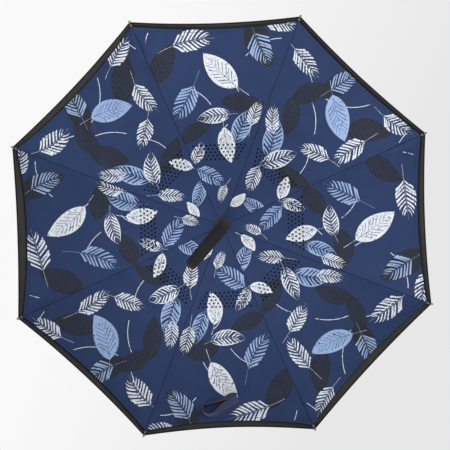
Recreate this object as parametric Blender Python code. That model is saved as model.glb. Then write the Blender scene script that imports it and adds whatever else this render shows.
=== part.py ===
"""Inverted umbrella with a double canopy and a C-shaped handle, modelled open.

Eight arms stand round the shaft. Each has a stretcher on the fixed top notch, a rib on the
sliding runner, and a fibreglass rod that carries both covers out to a tip. Stretcher and rib
are equally long, so the runner's travel folds the arms upwards, inside out. The origin is the
point of the handle's spine that the hand closes on, with +Z up the shaft.
"""

import math

import bmesh
import bpy
from mathutils import Matrix, Vector

MM = 0.001

# Folding frame
ARM_COUNT = 8
ARM_PHASE = math.radians(25.5)  # from the handle's open side to the first arm
LINK_LENGTH = 250 * MM  # pin to pin, in the stretcher and in the rib
OPEN_TILT = math.radians(6)  # of both links when the umbrella is open
PIVOT_RADIUS = 14 * MM
NOTCH_HEIGHT = 645 * MM  # of the stretchers' pins above the origin
ROD_LENGTH = 285 * MM
ROD_START_SLOPE = math.radians(3)
ROD_END_SLOPE = math.radians(36)

# Clearances
GAP = 0.3 * MM
PIN_GAP = 0.4 * MM
OVERRUN = 2 * MM  # of a cutter past the wall that it cuts

# Shaft
SHAFT_RADIUS = 7 * MM
SHAFT_WALL = 1.2 * MM
SHAFT_FOOT = 20 * MM  # above the handle's middle
SHAFT_ROUND_STEPS = 24

# Handle
HANDLE_HEIGHT = 150 * MM
HANDLE_REACH = 114 * MM
HANDLE_WIDTH = 28 * MM  # across the C, at its spine
HANDLE_END_WIDTH = 25 * MM
HANDLE_DEPTH = 24 * MM  # in the C's own plane
HANDLE_CORNER = 50 * MM
NECK_RADIUS = 12.5 * MM
NECK_TOP = 104 * MM  # above the handle's middle
COLLAR_RADIUS = 13.5 * MM
COLLAR_HEIGHT = 6 * MM
COLLAR_CHAMFER = 1.2 * MM
CLOSED_ROOM = 3 * MM  # from the collar up to the closed runner

# Notch and runner
HUB_RADIUS = 17.5 * MM
HUB_HALF_HEIGHT = 7 * MM
HUB_ROUND_STEPS = 32
SLOT_WIDTH = 3 * MM
SLOT_FLOOR_RADIUS = 10.3 * MM
SLOT_WEB = 1 * MM  # left closed at one face of the hub
WIRE_RADIUS = 0.6 * MM
WIRE_SIDES = 6
SLEEVE_RADIUS = 11.5 * MM
SLEEVE_LENGTH = 25 * MM
SLEEVE_LIP = 1.5 * MM
CLAMP_RADIUS = 18 * MM  # of the rings that hold the covers
CLAMP_HEIGHT = 4 * MM

# Top cap
WASHER_HEIGHT = 2 * MM
CAP_RADIUS = 13 * MM
CAP_FLAT_RADIUS = 7 * MM
CAP_HEIGHT = 11 * MM
CAP_STEM_LENGTH = 12 * MM

# Catches
CATCH_WIDTH = 2.6 * MM
CATCH_NOSE = 2.4 * MM  # past the shaft
CATCH_NOSE_HEIGHT = 1.6 * MM
CATCH_RAMP = 10 * MM
CATCH_FOOT = 12 * MM
CATCH_THICKNESS = 0.9 * MM
CATCH_INSET = 0.6 * MM  # of its back from the tube's bore

# Stretcher
EYE_RADIUS = 3 * MM
EYE_SIDES = 6
CHANNEL_WIDTH = 7 * MM
CHANNEL_WALL = 0.75 * MM
CHANNEL_HEIGHT = 6 * MM
CHANNEL_FLOOR = 0.8 * MM
CHANNEL_START = 9 * MM
CHANNEL_END_WALL = 3 * MM
FORK_LENGTH = 9 * MM
PIN_RADIUS = 1.2 * MM
PIN_SIDES = 8

# Rib and its bracket
RIB_RADIUS = 2.2 * MM
RIB_DROP = 6 * MM  # of its tube below the pin line, at the stretcher's pin
RIB_START = 9 * MM
BRACKET_LENGTH = 10 * MM
BRACKET_WIDTH = 6.8 * MM
BRACKET_WALL = 1 * MM
BLADE_RADIUS = 2.5 * MM
FLEX_SETBACK = 14 * MM  # of the rod's hinge beyond the stretcher's pin
CHEEK_LENGTH = 8 * MM
CHEEK_WIDTH = 6.4 * MM
CHEEK_RADIUS = 3 * MM
FLEX_PIN_RADIUS = 1 * MM

# Rod and tip
ROD_RADIUS = 2 * MM
ROD_TIP_RADIUS = 1.5 * MM
ROD_BEGIN = 6 * MM
ROD_SIDES = 6
ROD_STEPS = 9
ROD_EYE_RADIUS = 2.6 * MM
TIP_RADIUS = 3 * MM
TIP_SLEEVE = 12 * MM
TIP_NOSE = 6 * MM
TIP_SIDES = 8

# Covers
CLOTH = 0.6 * MM
COVER_LIFT = 3.9 * MM  # of each cover's near face from the rod's middle
COVER_BEND = 60 * MM  # along the rod, where the covers come down on it
COVER_SHORT = 1.5 * MM  # of both covers before the rod's end
BRACKET_LIFT = 0.8 * MM  # of the inner cover clear of the brackets
OUTER_HEM_BOW = 6 * MM
INNER_HEM_BOW = 20 * MM
COVER_HOLE_GAP = 1.2 * MM
GORE_STEPS = 4
COVER_STEPS_IN = 3
COVER_STEPS_OUT = 6

# Tie strap
STRAP_WIDTH = 20 * MM
STRAP_LENGTH = 84 * MM
STRAP_THICKNESS = 1.6 * MM
STRAP_HEM_INSET = 68 * MM
STRAP_ARM = 7  # the strap's gore lies between this arm and the next
STRAP_MIDDLE_SHARE = 0.56
STRAP_SKEW = math.radians(20)
STRAP_OFFSET = 1.5 * MM  # from the cover's near face, past its cloth
STRAP_STEPS = 6


def mesh_of(points, faces):
    """A mesh with its faces turned outwards."""
    mesh = bpy.data.meshes.new("piece")
    mesh.from_pydata([tuple(p) for p in points], [], faces)
    bm = bmesh.new()
    bm.from_mesh(mesh)
    bmesh.ops.recalc_face_normals(bm, faces=bm.faces)
    bm.to_mesh(mesh)
    bm.free()
    return mesh


def loft(rings):
    """A solid skinned over a row of rings that have the same number of points."""
    sides = len(rings[0])
    points = [p for ring in rings for p in ring]
    faces = [tuple(range(sides)), tuple(range(len(points) - sides, len(points)))]
    for row in range(len(rings) - 1):
        for i in range(sides):
            j = (i + 1) % sides
            low, high = row * sides, (row + 1) * sides
            faces.append((low + i, low + j, high + j, high + i))
    return mesh_of(points, faces)


def turned(profile, steps):
    """A solid of revolution about Z from a closed outline of (radius, height) points."""
    bm = bmesh.new()
    ring = [bm.verts.new((radius, 0, height)) for radius, height in profile]
    edges = []
    for i, vert in enumerate(ring):
        following = ring[(i + 1) % len(ring)]
        if vert.co.x > 0 or following.co.x > 0:
            edges.append(bm.edges.new((vert, following)))
    bmesh.ops.spin(
        bm,
        geom=ring + edges,
        cent=(0, 0, 0),
        axis=(0, 0, 1),
        angle=math.tau,
        steps=steps,
        use_merge=True,
    )
    bmesh.ops.remove_doubles(bm, verts=bm.verts, dist=GAP / 100)
    bmesh.ops.recalc_face_normals(bm, faces=bm.faces)
    mesh = bpy.data.meshes.new("turned")
    bm.to_mesh(mesh)
    bm.free()
    return mesh


def plate(outline, low, high):
    """A plate of an (x, z) outline, from y = low to y = high."""
    return loft([[(x, y, z) for x, z in outline] for y in (low, high)])


def block(low, high):
    """A box between two corners."""
    outline = [(low[0], low[2]), (high[0], low[2]), (high[0], high[2]), (low[0], high[2])]
    return plate(outline, low[1], high[1])


def polygon(radius, sides, centre=(0, 0), turn=0.5):
    """The (x, z) corners of a regular polygon, turned by a share of one side."""
    steps = [math.tau * (i + turn) / sides for i in range(sides)]
    return [(centre[0] + radius * math.cos(a), centre[1] + radius * math.sin(a)) for a in steps]


def round_pin(radius, half_length, centre, sides=PIN_SIDES):
    """A pin, or the cutter for its hole, along y."""
    return plate(polygon(radius, sides, centre), -half_length, half_length)


def rounded_bar(start, end, radius, centre_z=0):
    """An (x, z) outline that is square at its start and round about the point at its end."""
    sense = 1 if end > start else -1
    steps = [math.pi * (i / EYE_SIDES - 0.5) for i in range(EYE_SIDES + 1)]
    arc = [(end + sense * radius * math.cos(a), centre_z + radius * math.sin(a)) for a in steps]
    return [(start, centre_z - radius)] + arc + [(start, centre_z + radius)]


def combined(mesh, tools, operation):
    """The mesh after each tool in turn is joined to it or cut from it."""
    base = bpy.data.objects.new("base", mesh)
    bpy.context.collection.objects.link(base)
    helpers = []
    for tool in tools:
        helper = bpy.data.objects.new("helper", tool)
        bpy.context.collection.objects.link(helper)
        step = base.modifiers.new("step", "BOOLEAN")
        step.operation = operation
        step.solver = "EXACT"
        step.object = helper
        helpers.append(helper)
    graph = bpy.context.evaluated_depsgraph_get()
    result = bpy.data.meshes.new_from_object(base.evaluated_get(graph))
    for used in [base] + helpers:
        bpy.data.objects.remove(used)
    return result


def finish(name, colour, roughness, metallic=0.0):
    """A plain material."""
    material = bpy.data.materials.new(name)
    material.use_nodes = True
    shader = material.node_tree.nodes["Principled BSDF"]
    shader.inputs["Base Color"].default_value = (*colour, 1)
    shader.inputs["Roughness"].default_value = roughness
    shader.inputs["Metallic"].default_value = metallic
    material.diffuse_color = (*colour, 1)
    return material


def add(name, mesh, material, parent=None, place=(0, 0, 0), turn=(0, 0, 0), smooth=True):
    """One named sub-part in the scene."""
    piece = bpy.data.objects.new(name, mesh)
    bpy.context.collection.objects.link(piece)
    piece.parent = parent
    piece.location = place
    piece.rotation_euler = turn
    if not mesh.materials:
        mesh.materials.append(material)
    if smooth:
        mesh.shade_smooth()
        mesh.set_sharp_from_angle(angle=math.radians(35))
    return piece


def empty(name, parent=None, place=(0, 0, 0), turn=(0, 0, 0)):
    """A frame that sub-parts are placed in."""
    frame = bpy.data.objects.new(name, None)
    bpy.context.collection.objects.link(frame)
    frame.parent = parent
    frame.location = place
    frame.rotation_euler = turn
    return frame


def in_rib_frame(along, up):
    """An arm's (radius, height) of a point given from the stretcher's pin, along and square to the rib."""
    cos, sin = math.cos(OPEN_TILT), math.sin(OPEN_TILT)
    return (
        ELBOW[0] + along * cos - up * sin,
        ELBOW[1] + along * sin + up * cos,
    )


def rib_drop(along):
    """How far the rib's tube lies below its pin line, measured from the stretcher's pin."""
    return RIB_DROP * (LINK_LENGTH + along) / LINK_LENGTH


def rod_point(travel, lift=0):
    """A rod's (x, z) in its own frame after a travel along it, lifted square to it."""
    turn = travel / ROD_BEND_RADIUS
    out = ROD_BEND_RADIUS * math.sin(turn) + lift * math.sin(turn)
    up = -ROD_BEND_RADIUS * (1 - math.cos(turn)) + lift * math.cos(turn)
    return out, up


def rod_in_arm(travel, lift=0):
    """An arm's (radius, height) of a point along the rod."""
    out, up = rod_point(travel, lift)
    cos, sin = math.cos(ROD_START_SLOPE), math.sin(ROD_START_SLOPE)
    return FLEX_PIN[0] + out * cos + up * sin, FLEX_PIN[1] - out * sin + up * cos


# Places that follow from the sizes above
RUNNER_HEIGHT = NOTCH_HEIGHT - 2 * LINK_LENGTH * math.sin(OPEN_TILT)
ELBOW = (
    PIVOT_RADIUS + LINK_LENGTH * math.cos(OPEN_TILT),
    NOTCH_HEIGHT - LINK_LENGTH * math.sin(OPEN_TILT),
)
FLEX_PIN = in_rib_frame(FLEX_SETBACK, -rib_drop(FLEX_SETBACK))
ROD_BEND_RADIUS = ROD_LENGTH / (ROD_END_SLOPE - ROD_START_SLOPE)
EYE_THICKNESS = SLOT_WIDTH - 2 * GAP
CHANNEL_INNER = CHANNEL_WIDTH - 2 * CHANNEL_WALL
BLADE_THICKNESS = CHANNEL_INNER - 2 * PIN_GAP
WIRE_HOLE_RADIUS = WIRE_RADIUS + PIN_GAP
OUTER_COVER_BASE = NOTCH_HEIGHT + HUB_HALF_HEIGHT + GAP
INNER_COVER_BASE = RUNNER_HEIGHT - HUB_HALF_HEIGHT - GAP
CLAMP_GAP = CLOTH + GAP  # from a cover's near face to the ring that clamps it
WASHER_BASE = OUTER_COVER_BASE + CLAMP_GAP
WASHER_TOP = WASHER_BASE + WASHER_HEIGHT
SHAFT_TOP = WASHER_TOP - GAP
BORE_RADIUS = SHAFT_RADIUS - SHAFT_WALL
SLEEVE_FOOT = RUNNER_HEIGHT - HUB_HALF_HEIGHT - SLEEVE_LENGTH
CLOSED_TILT = math.radians(88)
CLOSED_RUNNER_HEIGHT = NOTCH_HEIGHT - 2 * LINK_LENGTH * math.sin(CLOSED_TILT)
CLOSED_SLEEVE_FOOT = CLOSED_RUNNER_HEIGHT - HUB_HALF_HEIGHT - SLEEVE_LENGTH
COLLAR_BASE = NECK_TOP + GAP
HANDLE_PLACE = CLOSED_SLEEVE_FOOT - CLOSED_ROOM - COLLAR_HEIGHT - COLLAR_BASE
CATCH_CLEAR = 2 * GAP  # round a catch in its slot


def catch_outline(sense):
    """A leaf's (x, z) outline: a flat-faced nose with a ramp, on a foot inside the shaft."""
    back = BORE_RADIUS - CATCH_INSET
    front = back - CATCH_THICKNESS
    nose = SHAFT_RADIUS + CATCH_NOSE
    steps = [
        (front, 0),
        (nose, 0),
        (nose, CATCH_NOSE_HEIGHT),
        (back, CATCH_RAMP),
        (back, CATCH_RAMP + CATCH_FOOT),
        (front, CATCH_RAMP + CATCH_FOOT),
    ]
    return [(x, -sense * z) for x, z in steps]


def catch_slot(height, sense):
    """The cutter for the slot in the shaft that a catch's nose comes through."""
    ends = sorted((height + sense * CATCH_CLEAR, height - sense * (CATCH_RAMP + CATCH_CLEAR)))
    half = CATCH_WIDTH / 2 + GAP
    return block(
        (BORE_RADIUS - OVERRUN, -half, ends[0]), (SHAFT_RADIUS + OVERRUN, half, ends[1])
    )


OPEN_CATCH_HEIGHT = SLEEVE_FOOT - GAP
CLOSED_CATCH_HEIGHT = CLOSED_RUNNER_HEIGHT + HUB_HALF_HEIGHT + GAP


def shaft_mesh():
    """The steel tube with its two catch slots."""
    foot = HANDLE_PLACE + SHAFT_FOOT
    profile = [
        (BORE_RADIUS, foot),
        (SHAFT_RADIUS, foot),
        (SHAFT_RADIUS, SHAFT_TOP),
        (BORE_RADIUS, SHAFT_TOP),
    ]
    slots = [catch_slot(OPEN_CATCH_HEIGHT, 1), catch_slot(CLOSED_CATCH_HEIGHT, -1)]
    return combined(turned(profile, SHAFT_ROUND_STEPS), slots, "DIFFERENCE")


def catch_mesh(sense):
    """A leaf spring; its nose faces up where sense is 1 and down where it is -1."""
    return plate(catch_outline(sense), -CATCH_WIDTH / 2, CATCH_WIDTH / 2)


def handle_path():
    """The C's middle line: points, their directions and their shares of the way round."""
    half = (HANDLE_HEIGHT - HANDLE_DEPTH) / 2
    end = HANDLE_REACH - HANDLE_DEPTH / 2
    arm_steps, corner_steps = 3, 7
    path = []
    for i in range(arm_steps):
        path.append((Vector((end + (HANDLE_CORNER - end) * i / arm_steps, 0, -half)), math.pi))
    for i in range(corner_steps + 1):
        turn = math.pi / 2 * i / corner_steps
        point = Vector((-math.sin(turn), 0, -math.cos(turn))) * HANDLE_CORNER
        path.append((point + Vector((HANDLE_CORNER, 0, HANDLE_CORNER - half)), math.pi - turn))
    lower = [(point, heading) for point, heading in path]
    upper = [
        (Vector((point.x, 0, -point.z)), math.pi - heading) for point, heading in reversed(path)
    ]
    return lower + upper


def handle_ring(point, heading, width, depth):
    """One oval ring across the C's bar."""
    across = Vector((-math.sin(heading), 0, math.cos(heading)))
    sides = 16
    ring = []
    for i in range(sides):
        turn = math.tau * i / sides
        ring.append(
            point
            + Vector((0, width / 2 * math.cos(turn), 0))
            + across * (depth / 2 * math.sin(turn))
        )
    return ring


def handle_mesh():
    """The C with rounded ends, its neck, and the socket for the shaft."""
    path = handle_path()
    nose_turns = [math.radians(a) for a in (80, 55, 28)]
    rings = []

    def nose(point, heading, sense):
        for turn in nose_turns if sense < 0 else reversed(nose_turns):
            ahead = Vector((math.cos(heading), 0, math.sin(heading)))
            place = point + ahead * (sense * HANDLE_DEPTH / 2 * math.sin(turn))
            size = math.cos(turn)
            rings.append(handle_ring(place, heading, HANDLE_END_WIDTH * size, HANDLE_DEPTH * size))

    nose(*path[0], -1)
    for i, (point, heading) in enumerate(path):
        middle_share = math.sin(math.pi * i / (len(path) - 1))
        width = HANDLE_END_WIDTH + (HANDLE_WIDTH - HANDLE_END_WIDTH) * middle_share
        rings.append(handle_ring(point, heading, width, HANDLE_DEPTH))
    nose(*path[-1], 1)
    neck_steps = 24
    neck = turned([(0, 0), (NECK_RADIUS, 0), (NECK_RADIUS, NECK_TOP), (0, NECK_TOP)], neck_steps)
    socket_radius = SHAFT_RADIUS + GAP
    socket_foot = SHAFT_FOOT - GAP
    socket_top = NECK_TOP + OVERRUN
    socket = turned(
        [(0, socket_foot), (socket_radius, socket_foot), (socket_radius, socket_top), (0, socket_top)],
        SHAFT_ROUND_STEPS,
    )
    return combined(combined(loft(rings), [neck], "UNION"), [socket], "DIFFERENCE")


def ring_mesh(inner, outer, low, high, chamfer=0.0, steps=HUB_ROUND_STEPS):
    """A plain ring, with its outer top edge chamfered where asked."""
    profile = [(inner, low), (outer, low), (outer, high - chamfer)]
    if chamfer:
        profile.append((outer - chamfer, high))
    else:
        profile[-1] = (outer, high)
    return turned(profile + [(inner, high)], steps)


def hub_slots(open_face):
    """Cutters for the arms' slots; they stop at the web on the side away from the open face."""
    far = HUB_HALF_HEIGHT + OVERRUN
    near = HUB_HALF_HEIGHT - SLOT_WEB
    low, high = (-near, far) if open_face > 0 else (-far, near)
    cutters = []
    for arm in range(ARM_COUNT):
        cutter = block(
            (SLOT_FLOOR_RADIUS, -SLOT_WIDTH / 2, low),
            (HUB_RADIUS + OVERRUN, SLOT_WIDTH / 2, high),
        )
        cutter.transform(Matrix.Rotation(arm_azimuth(arm), 4, "Z"))
        cutters.append(cutter)
    return cutters


def hub_rim():
    """The outer side of a hub, top to bottom, with the groove that its wire lies in."""
    groove = WIRE_RADIUS + GAP
    groove_floor = PIVOT_RADIUS - groove
    return [
        (HUB_RADIUS, HUB_HALF_HEIGHT),
        (HUB_RADIUS, groove),
        (groove_floor, groove),
        (groove_floor, -groove),
        (HUB_RADIUS, -groove),
        (HUB_RADIUS, -HUB_HALF_HEIGHT),
    ]


def notch_mesh():
    """The fixed hub, whose slots are open below."""
    bore = SHAFT_RADIUS + GAP
    profile = [(bore, HUB_HALF_HEIGHT)] + hub_rim() + [(bore, -HUB_HALF_HEIGHT)]
    return combined(turned(profile, HUB_ROUND_STEPS), hub_slots(-1), "DIFFERENCE")


def runner_mesh():
    """The sliding hub, whose slots are open above, with its grip sleeve below."""
    bore = SHAFT_RADIUS + GAP
    foot = -HUB_HALF_HEIGHT - SLEEVE_LENGTH
    sleeve = [
        (SLEEVE_RADIUS, -HUB_HALF_HEIGHT),
        (SLEEVE_RADIUS, foot + 3 * SLEEVE_LIP),
        (SLEEVE_RADIUS + SLEEVE_LIP, foot + 2 * SLEEVE_LIP),
        (SLEEVE_RADIUS + SLEEVE_LIP, foot),
        (bore, foot),
    ]
    profile = [(bore, HUB_HALF_HEIGHT)] + hub_rim() + sleeve
    return combined(turned(profile, HUB_ROUND_STEPS), hub_slots(1), "DIFFERENCE")


def wire_mesh():
    """The wire ring that strings the arms' eyes."""
    section = polygon(WIRE_RADIUS, WIRE_SIDES, (PIVOT_RADIUS, 0))
    return turned(section, HUB_ROUND_STEPS)


def cap_mesh():
    """The top cap, with a flat top and a stem in the shaft's bore."""
    stem = BORE_RADIUS - GAP
    profile = [
        (0, -CAP_STEM_LENGTH),
        (stem, -CAP_STEM_LENGTH),
        (stem, 0),
        (CAP_RADIUS, 0),
        (CAP_RADIUS, CAP_HEIGHT / 3),
        ((CAP_RADIUS * 2 + CAP_FLAT_RADIUS) / 3, CAP_HEIGHT * 3 / 4),
        (CAP_FLAT_RADIUS, CAP_HEIGHT),
        (0, CAP_HEIGHT),
    ]
    return turned(profile, SHAFT_ROUND_STEPS)


def stretcher_mesh():
    """A U-channel open above, with an eye at the notch and a fork at the rib."""
    half_height, half_width = CHANNEL_HEIGHT / 2, CHANNEL_WIDTH / 2
    channel = plate(rounded_bar(CHANNEL_START, LINK_LENGTH, half_height), -half_width, half_width)
    past_end = LINK_LENGTH + half_height + OVERRUN
    inner = CHANNEL_INNER / 2
    trough = block(
        (CHANNEL_START + CHANNEL_END_WALL, -inner, CHANNEL_FLOOR - half_height),
        (past_end, inner, half_height + OVERRUN),
    )
    fork = block(
        (LINK_LENGTH - FORK_LENGTH, -inner, -half_height - OVERRUN), (past_end, inner, 0)
    )
    hole = round_pin(PIN_RADIUS + PIN_GAP, half_width + OVERRUN, (LINK_LENGTH, 0))
    cut = combined(channel, [trough, fork, hole], "DIFFERENCE")
    return combined(cut, [eye_mesh(0, CHANNEL_START + CHANNEL_END_WALL / 2)], "UNION")


def eye_mesh(pin, root):
    """A flat eye about a hub's wire, reaching back to the link that it is part of."""
    outline = rounded_bar(root, pin, EYE_RADIUS - GAP / 3)
    flat = plate(outline, -EYE_THICKNESS / 2, EYE_THICKNESS / 2)
    hole = round_pin(WIRE_HOLE_RADIUS, EYE_THICKNESS, (pin, 0))
    return combined(flat, [hole], "DIFFERENCE")


def rib_tube(radius, start, end):
    """A length of the rib's tube, or of the bore round it, in the rib's own frame."""
    rings = []
    for along in (start, end):
        section = polygon(radius, PIN_SIDES, (0, -rib_drop(along)))
        rings.append([(along, y, z) for y, z in section])
    return loft(rings)


def rib_mesh():
    """The inner rib: an eye on the runner, a straight tube and two cheeks for the rod."""
    eye = eye_mesh(-LINK_LENGTH, -LINK_LENGTH + RIB_START + EYE_RADIUS)
    cheek_start = FLEX_SETBACK - CHEEK_LENGTH
    tube = rib_tube(RIB_RADIUS, -LINK_LENGTH + RIB_START, cheek_start + CHEEK_WIDTH / 4)
    centre = -rib_drop(FLEX_SETBACK)
    outline = rounded_bar(cheek_start, FLEX_SETBACK, CHEEK_RADIUS, centre)
    cheeks = plate(outline, -CHEEK_WIDTH / 2, CHEEK_WIDTH / 2)
    slot = block(
        (FLEX_SETBACK - CHEEK_RADIUS - GAP, -SLOT_WIDTH / 2, centre - CHEEK_RADIUS - OVERRUN),
        (FLEX_SETBACK + CHEEK_RADIUS + OVERRUN, SLOT_WIDTH / 2, centre + CHEEK_RADIUS + OVERRUN),
    )
    cheeks = combined(cheeks, [slot], "DIFFERENCE")
    pin = round_pin(FLEX_PIN_RADIUS, CHEEK_WIDTH / 2 + GAP, (FLEX_SETBACK, centre))
    return combined(tube, [eye, cheeks, pin], "UNION")


def bracket_mesh():
    """The moulded bracket: a block clamped on the rib's tube, a blade and the stretcher's pin."""
    half_length, half_width = BRACKET_LENGTH / 2, BRACKET_WIDTH / 2
    bore_radius = RIB_RADIUS + GAP * 1.2
    low = -RIB_DROP - bore_radius - BRACKET_WALL
    high = -CHANNEL_HEIGHT / 2 - PIN_GAP
    body = block((-half_length, -half_width, low), (half_length, half_width, high))
    bore = rib_tube(bore_radius, -half_length - OVERRUN, half_length + OVERRUN)
    body = combined(body, [bore], "DIFFERENCE")
    blade_arc = polygon(BLADE_RADIUS, PIN_SIDES * 2)
    top = [(x, z) for x, z in blade_arc if z > 0]
    foot = high - BRACKET_WALL / 3
    outline = top + [(top[-1][0], foot), (top[0][0], foot)]
    blade = plate(outline, -BLADE_THICKNESS / 2, BLADE_THICKNESS / 2)
    pin = round_pin(PIN_RADIUS, half_width, (0, 0))
    return combined(body, [blade, pin], "UNION")


def rod_mesh():
    """The fibreglass rod: an eye on the rib's cheeks and a tapered arc out to its tip."""
    eye = plate(
        rounded_bar(ROD_BEGIN + ROD_RADIUS, 0, ROD_EYE_RADIUS),
        -EYE_THICKNESS / 2,
        EYE_THICKNESS / 2,
    )
    hole = round_pin(FLEX_PIN_RADIUS + GAP, EYE_THICKNESS, (0, 0))
    eye = combined(eye, [hole], "DIFFERENCE")
    rings = []
    for i in range(ROD_STEPS + 1):
        share = i / ROD_STEPS
        travel = ROD_BEGIN + (ROD_LENGTH - TIP_NOSE / 2 - ROD_BEGIN) * share
        radius = ROD_RADIUS + (ROD_TIP_RADIUS - ROD_RADIUS) * share
        ring = []
        for y, lift in polygon(radius, ROD_SIDES):
            x, z = rod_point(travel, lift)
            ring.append((x, y, z))
        rings.append(ring)
    return combined(loft(rings), [eye], "UNION")


def tip_mesh():
    """A tip cap about Z: a sleeve on the rod's end and a round nose past it."""
    bore = ROD_TIP_RADIUS + PIN_GAP + (ROD_RADIUS - ROD_TIP_RADIUS) * TIP_SLEEVE / ROD_LENGTH
    profile = [(bore, -TIP_SLEEVE), (TIP_RADIUS - GAP, -TIP_SLEEVE), (TIP_RADIUS, 0)]
    for turn_share in (1 / 4, 1 / 2, 3 / 4):
        turn = math.pi / 2 * turn_share
        profile.append((TIP_RADIUS * math.cos(turn), TIP_NOSE * math.sin(turn)))
    profile += [(0, TIP_NOSE), (0, 0), (bore, 0)]
    return turned(profile, TIP_SIDES)


def arm_azimuth(arm):
    """The turn of one arm about the shaft, counted from 0."""
    return ARM_PHASE + math.tau * arm / ARM_COUNT


def run_of(points, distance):
    """The (radius, height) at a distance along a row of points."""
    for (r0, z0), (r1, z1) in zip(points, points[1:]):
        step = math.hypot(r1 - r0, z1 - z0)
        if distance <= step:
            share = distance / step
            return r0 + (r1 - r0) * share, z0 + (z1 - z0) * share
        distance -= step
    return points[-1]


def run_length(points):
    """The length along a row of points."""
    return sum(math.hypot(b[0] - a[0], b[1] - a[1]) for a, b in zip(points, points[1:]))


def rod_row(sense):
    """Cover points that follow the rod, above it where sense is 1 and below where it is -1."""
    end = ROD_LENGTH - COVER_SHORT
    row = []
    for i in range(COVER_STEPS_OUT + 1):
        travel = COVER_BEND + (end - COVER_BEND) * i / COVER_STEPS_OUT
        row.append(rod_in_arm(travel, sense * COVER_LIFT))
    return row


def outer_run():
    """The outer cover's near face over an arm, from the crown to the tip."""
    crown = [(SHAFT_RADIUS + COVER_HOLE_GAP, OUTER_COVER_BASE), (CLAMP_RADIUS, OUTER_COVER_BASE)]
    over_elbow = (ELBOW[0], ELBOW[1] + CHANNEL_HEIGHT / 2 + COVER_LIFT - ROD_RADIUS)
    return crown + [over_elbow] + rod_row(1)


def inner_run():
    """The inner cover's near face under an arm, from the runner to the tip."""
    hub = [(SLEEVE_RADIUS + COVER_HOLE_GAP, INNER_COVER_BASE), (CLAMP_RADIUS, INNER_COVER_BASE)]
    bracket_foot = RIB_DROP + RIB_RADIUS + GAP + BRACKET_WALL + BRACKET_LIFT
    return hub + [in_rib_frame(0, -bracket_foot)] + rod_row(-1)


def gore_point(run, distance, gore, share, hem_bow):
    """A cover's point in a gore, at a share of the way to the next arm."""
    bow = 4 * share * (1 - share)
    whole = run_length(run)
    radius, height = run_of(run, distance - hem_bow * bow * (distance / whole) ** 3)
    here, there = arm_azimuth(gore), arm_azimuth(gore + 1)
    x = radius * (math.cos(here) * (1 - share) + math.cos(there) * share)
    y = radius * (math.sin(here) * (1 - share) + math.sin(there) * share)
    return Vector((x, y, height))


def cover_mesh(run, hem_bow, sense):
    """One cover's near face, from its middle hole to its hem, facing away from the arms."""
    rows = [0.0, math.hypot(run[1][0] - run[0][0], run[1][1] - run[0][1])]
    to_elbow = math.hypot(run[2][0] - run[1][0], run[2][1] - run[1][1])
    rows += [rows[1] + to_elbow * (i + 1) / COVER_STEPS_IN for i in range(COVER_STEPS_IN)]
    for a, b in zip(run[2:], run[3:]):
        rows.append(rows[-1] + math.hypot(b[0] - a[0], b[1] - a[1]))
    around = ARM_COUNT * GORE_STEPS
    points = []
    for distance in rows:
        for i in range(around):
            gore, step = divmod(i, GORE_STEPS)
            points.append(gore_point(run, distance, gore, step / GORE_STEPS, hem_bow))
    faces = []
    for row in range(len(rows) - 1):
        for i in range(around):
            j = (i + 1) % around
            low, high = row * around, (row + 1) * around
            face = (low + i, high + i, high + j, low + j)
            faces.append(face if sense > 0 else face[::-1])
    mesh = bpy.data.meshes.new("cover")
    mesh.from_pydata([tuple(p) for p in points], [], faces)
    return mesh


def add_cover(name, run, hem_bow, sense, material):
    """A sewn cover, thickened away from the arms."""
    cover = add(name, cover_mesh(run, hem_bow, sense), material)
    cloth = cover.modifiers.new("cloth", "SOLIDIFY")
    cloth.thickness = CLOTH
    cloth.offset = 1
    return cover


def strap_mesh():
    """The tie strap, lying along the inner cover near a hem and slightly askew to it."""
    run = inner_run()
    middle = run_length(run) - STRAP_HEM_INSET
    gore = STRAP_ARM - 1
    chord = 2 * run_of(run, middle)[0] * math.sin(math.pi / ARM_COUNT)
    rings = []
    for i in range(STRAP_STEPS + 1):
        travel = STRAP_LENGTH * (i / STRAP_STEPS - 0.5)
        share = STRAP_MIDDLE_SHARE + travel * math.cos(STRAP_SKEW) / chord
        distance = middle + travel * math.sin(STRAP_SKEW)
        half = STRAP_WIDTH / 2
        sides = [
            gore_point(run, distance + side * half, gore, share, INNER_HEM_BOW) for side in (-1, 1)
        ]
        centre = gore_point(run, distance, gore, share, INNER_HEM_BOW)
        ahead = gore_point(run, distance, gore, share + STRAP_WIDTH / chord, INNER_HEM_BOW) - centre
        down = ahead.cross(sides[1] - sides[0]).normalized()
        down = -down if down.z > 0 else down
        near, far = down * STRAP_OFFSET, down * (STRAP_OFFSET + STRAP_THICKNESS)
        rings.append([sides[0] + near, sides[1] + near, sides[1] + far, sides[0] + far])
    return loft(rings)


def add_shaft_parts():
    """The shaft, its handle and its catches."""
    steel = finish("shaft_steel", (0.62, 0.63, 0.64), 0.3, 1.0)
    spring = finish("spring_steel", (0.45, 0.45, 0.44), 0.35, 1.0)
    grip = finish("handle_black", (0.026, 0.026, 0.028), 0.55)
    add("shaft", shaft_mesh(), steel)
    at_handle = (0, 0, HANDLE_PLACE)
    at_collar = (0, 0, HANDLE_PLACE + COLLAR_BASE)
    add("c_handle", handle_mesh(), grip, place=at_handle)
    collar = ring_mesh(
        SHAFT_RADIUS + GAP, COLLAR_RADIUS, 0, COLLAR_HEIGHT, COLLAR_CHAMFER, SHAFT_ROUND_STEPS
    )
    add("handle_collar", collar, finish("collar_grey", (0.35, 0.35, 0.36), 0.4), place=at_collar)
    add("open_catch", catch_mesh(1), spring, place=(0, 0, OPEN_CATCH_HEIGHT), smooth=False)
    add("closed_catch", catch_mesh(-1), spring, place=(0, 0, CLOSED_CATCH_HEIGHT), smooth=False)


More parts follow.
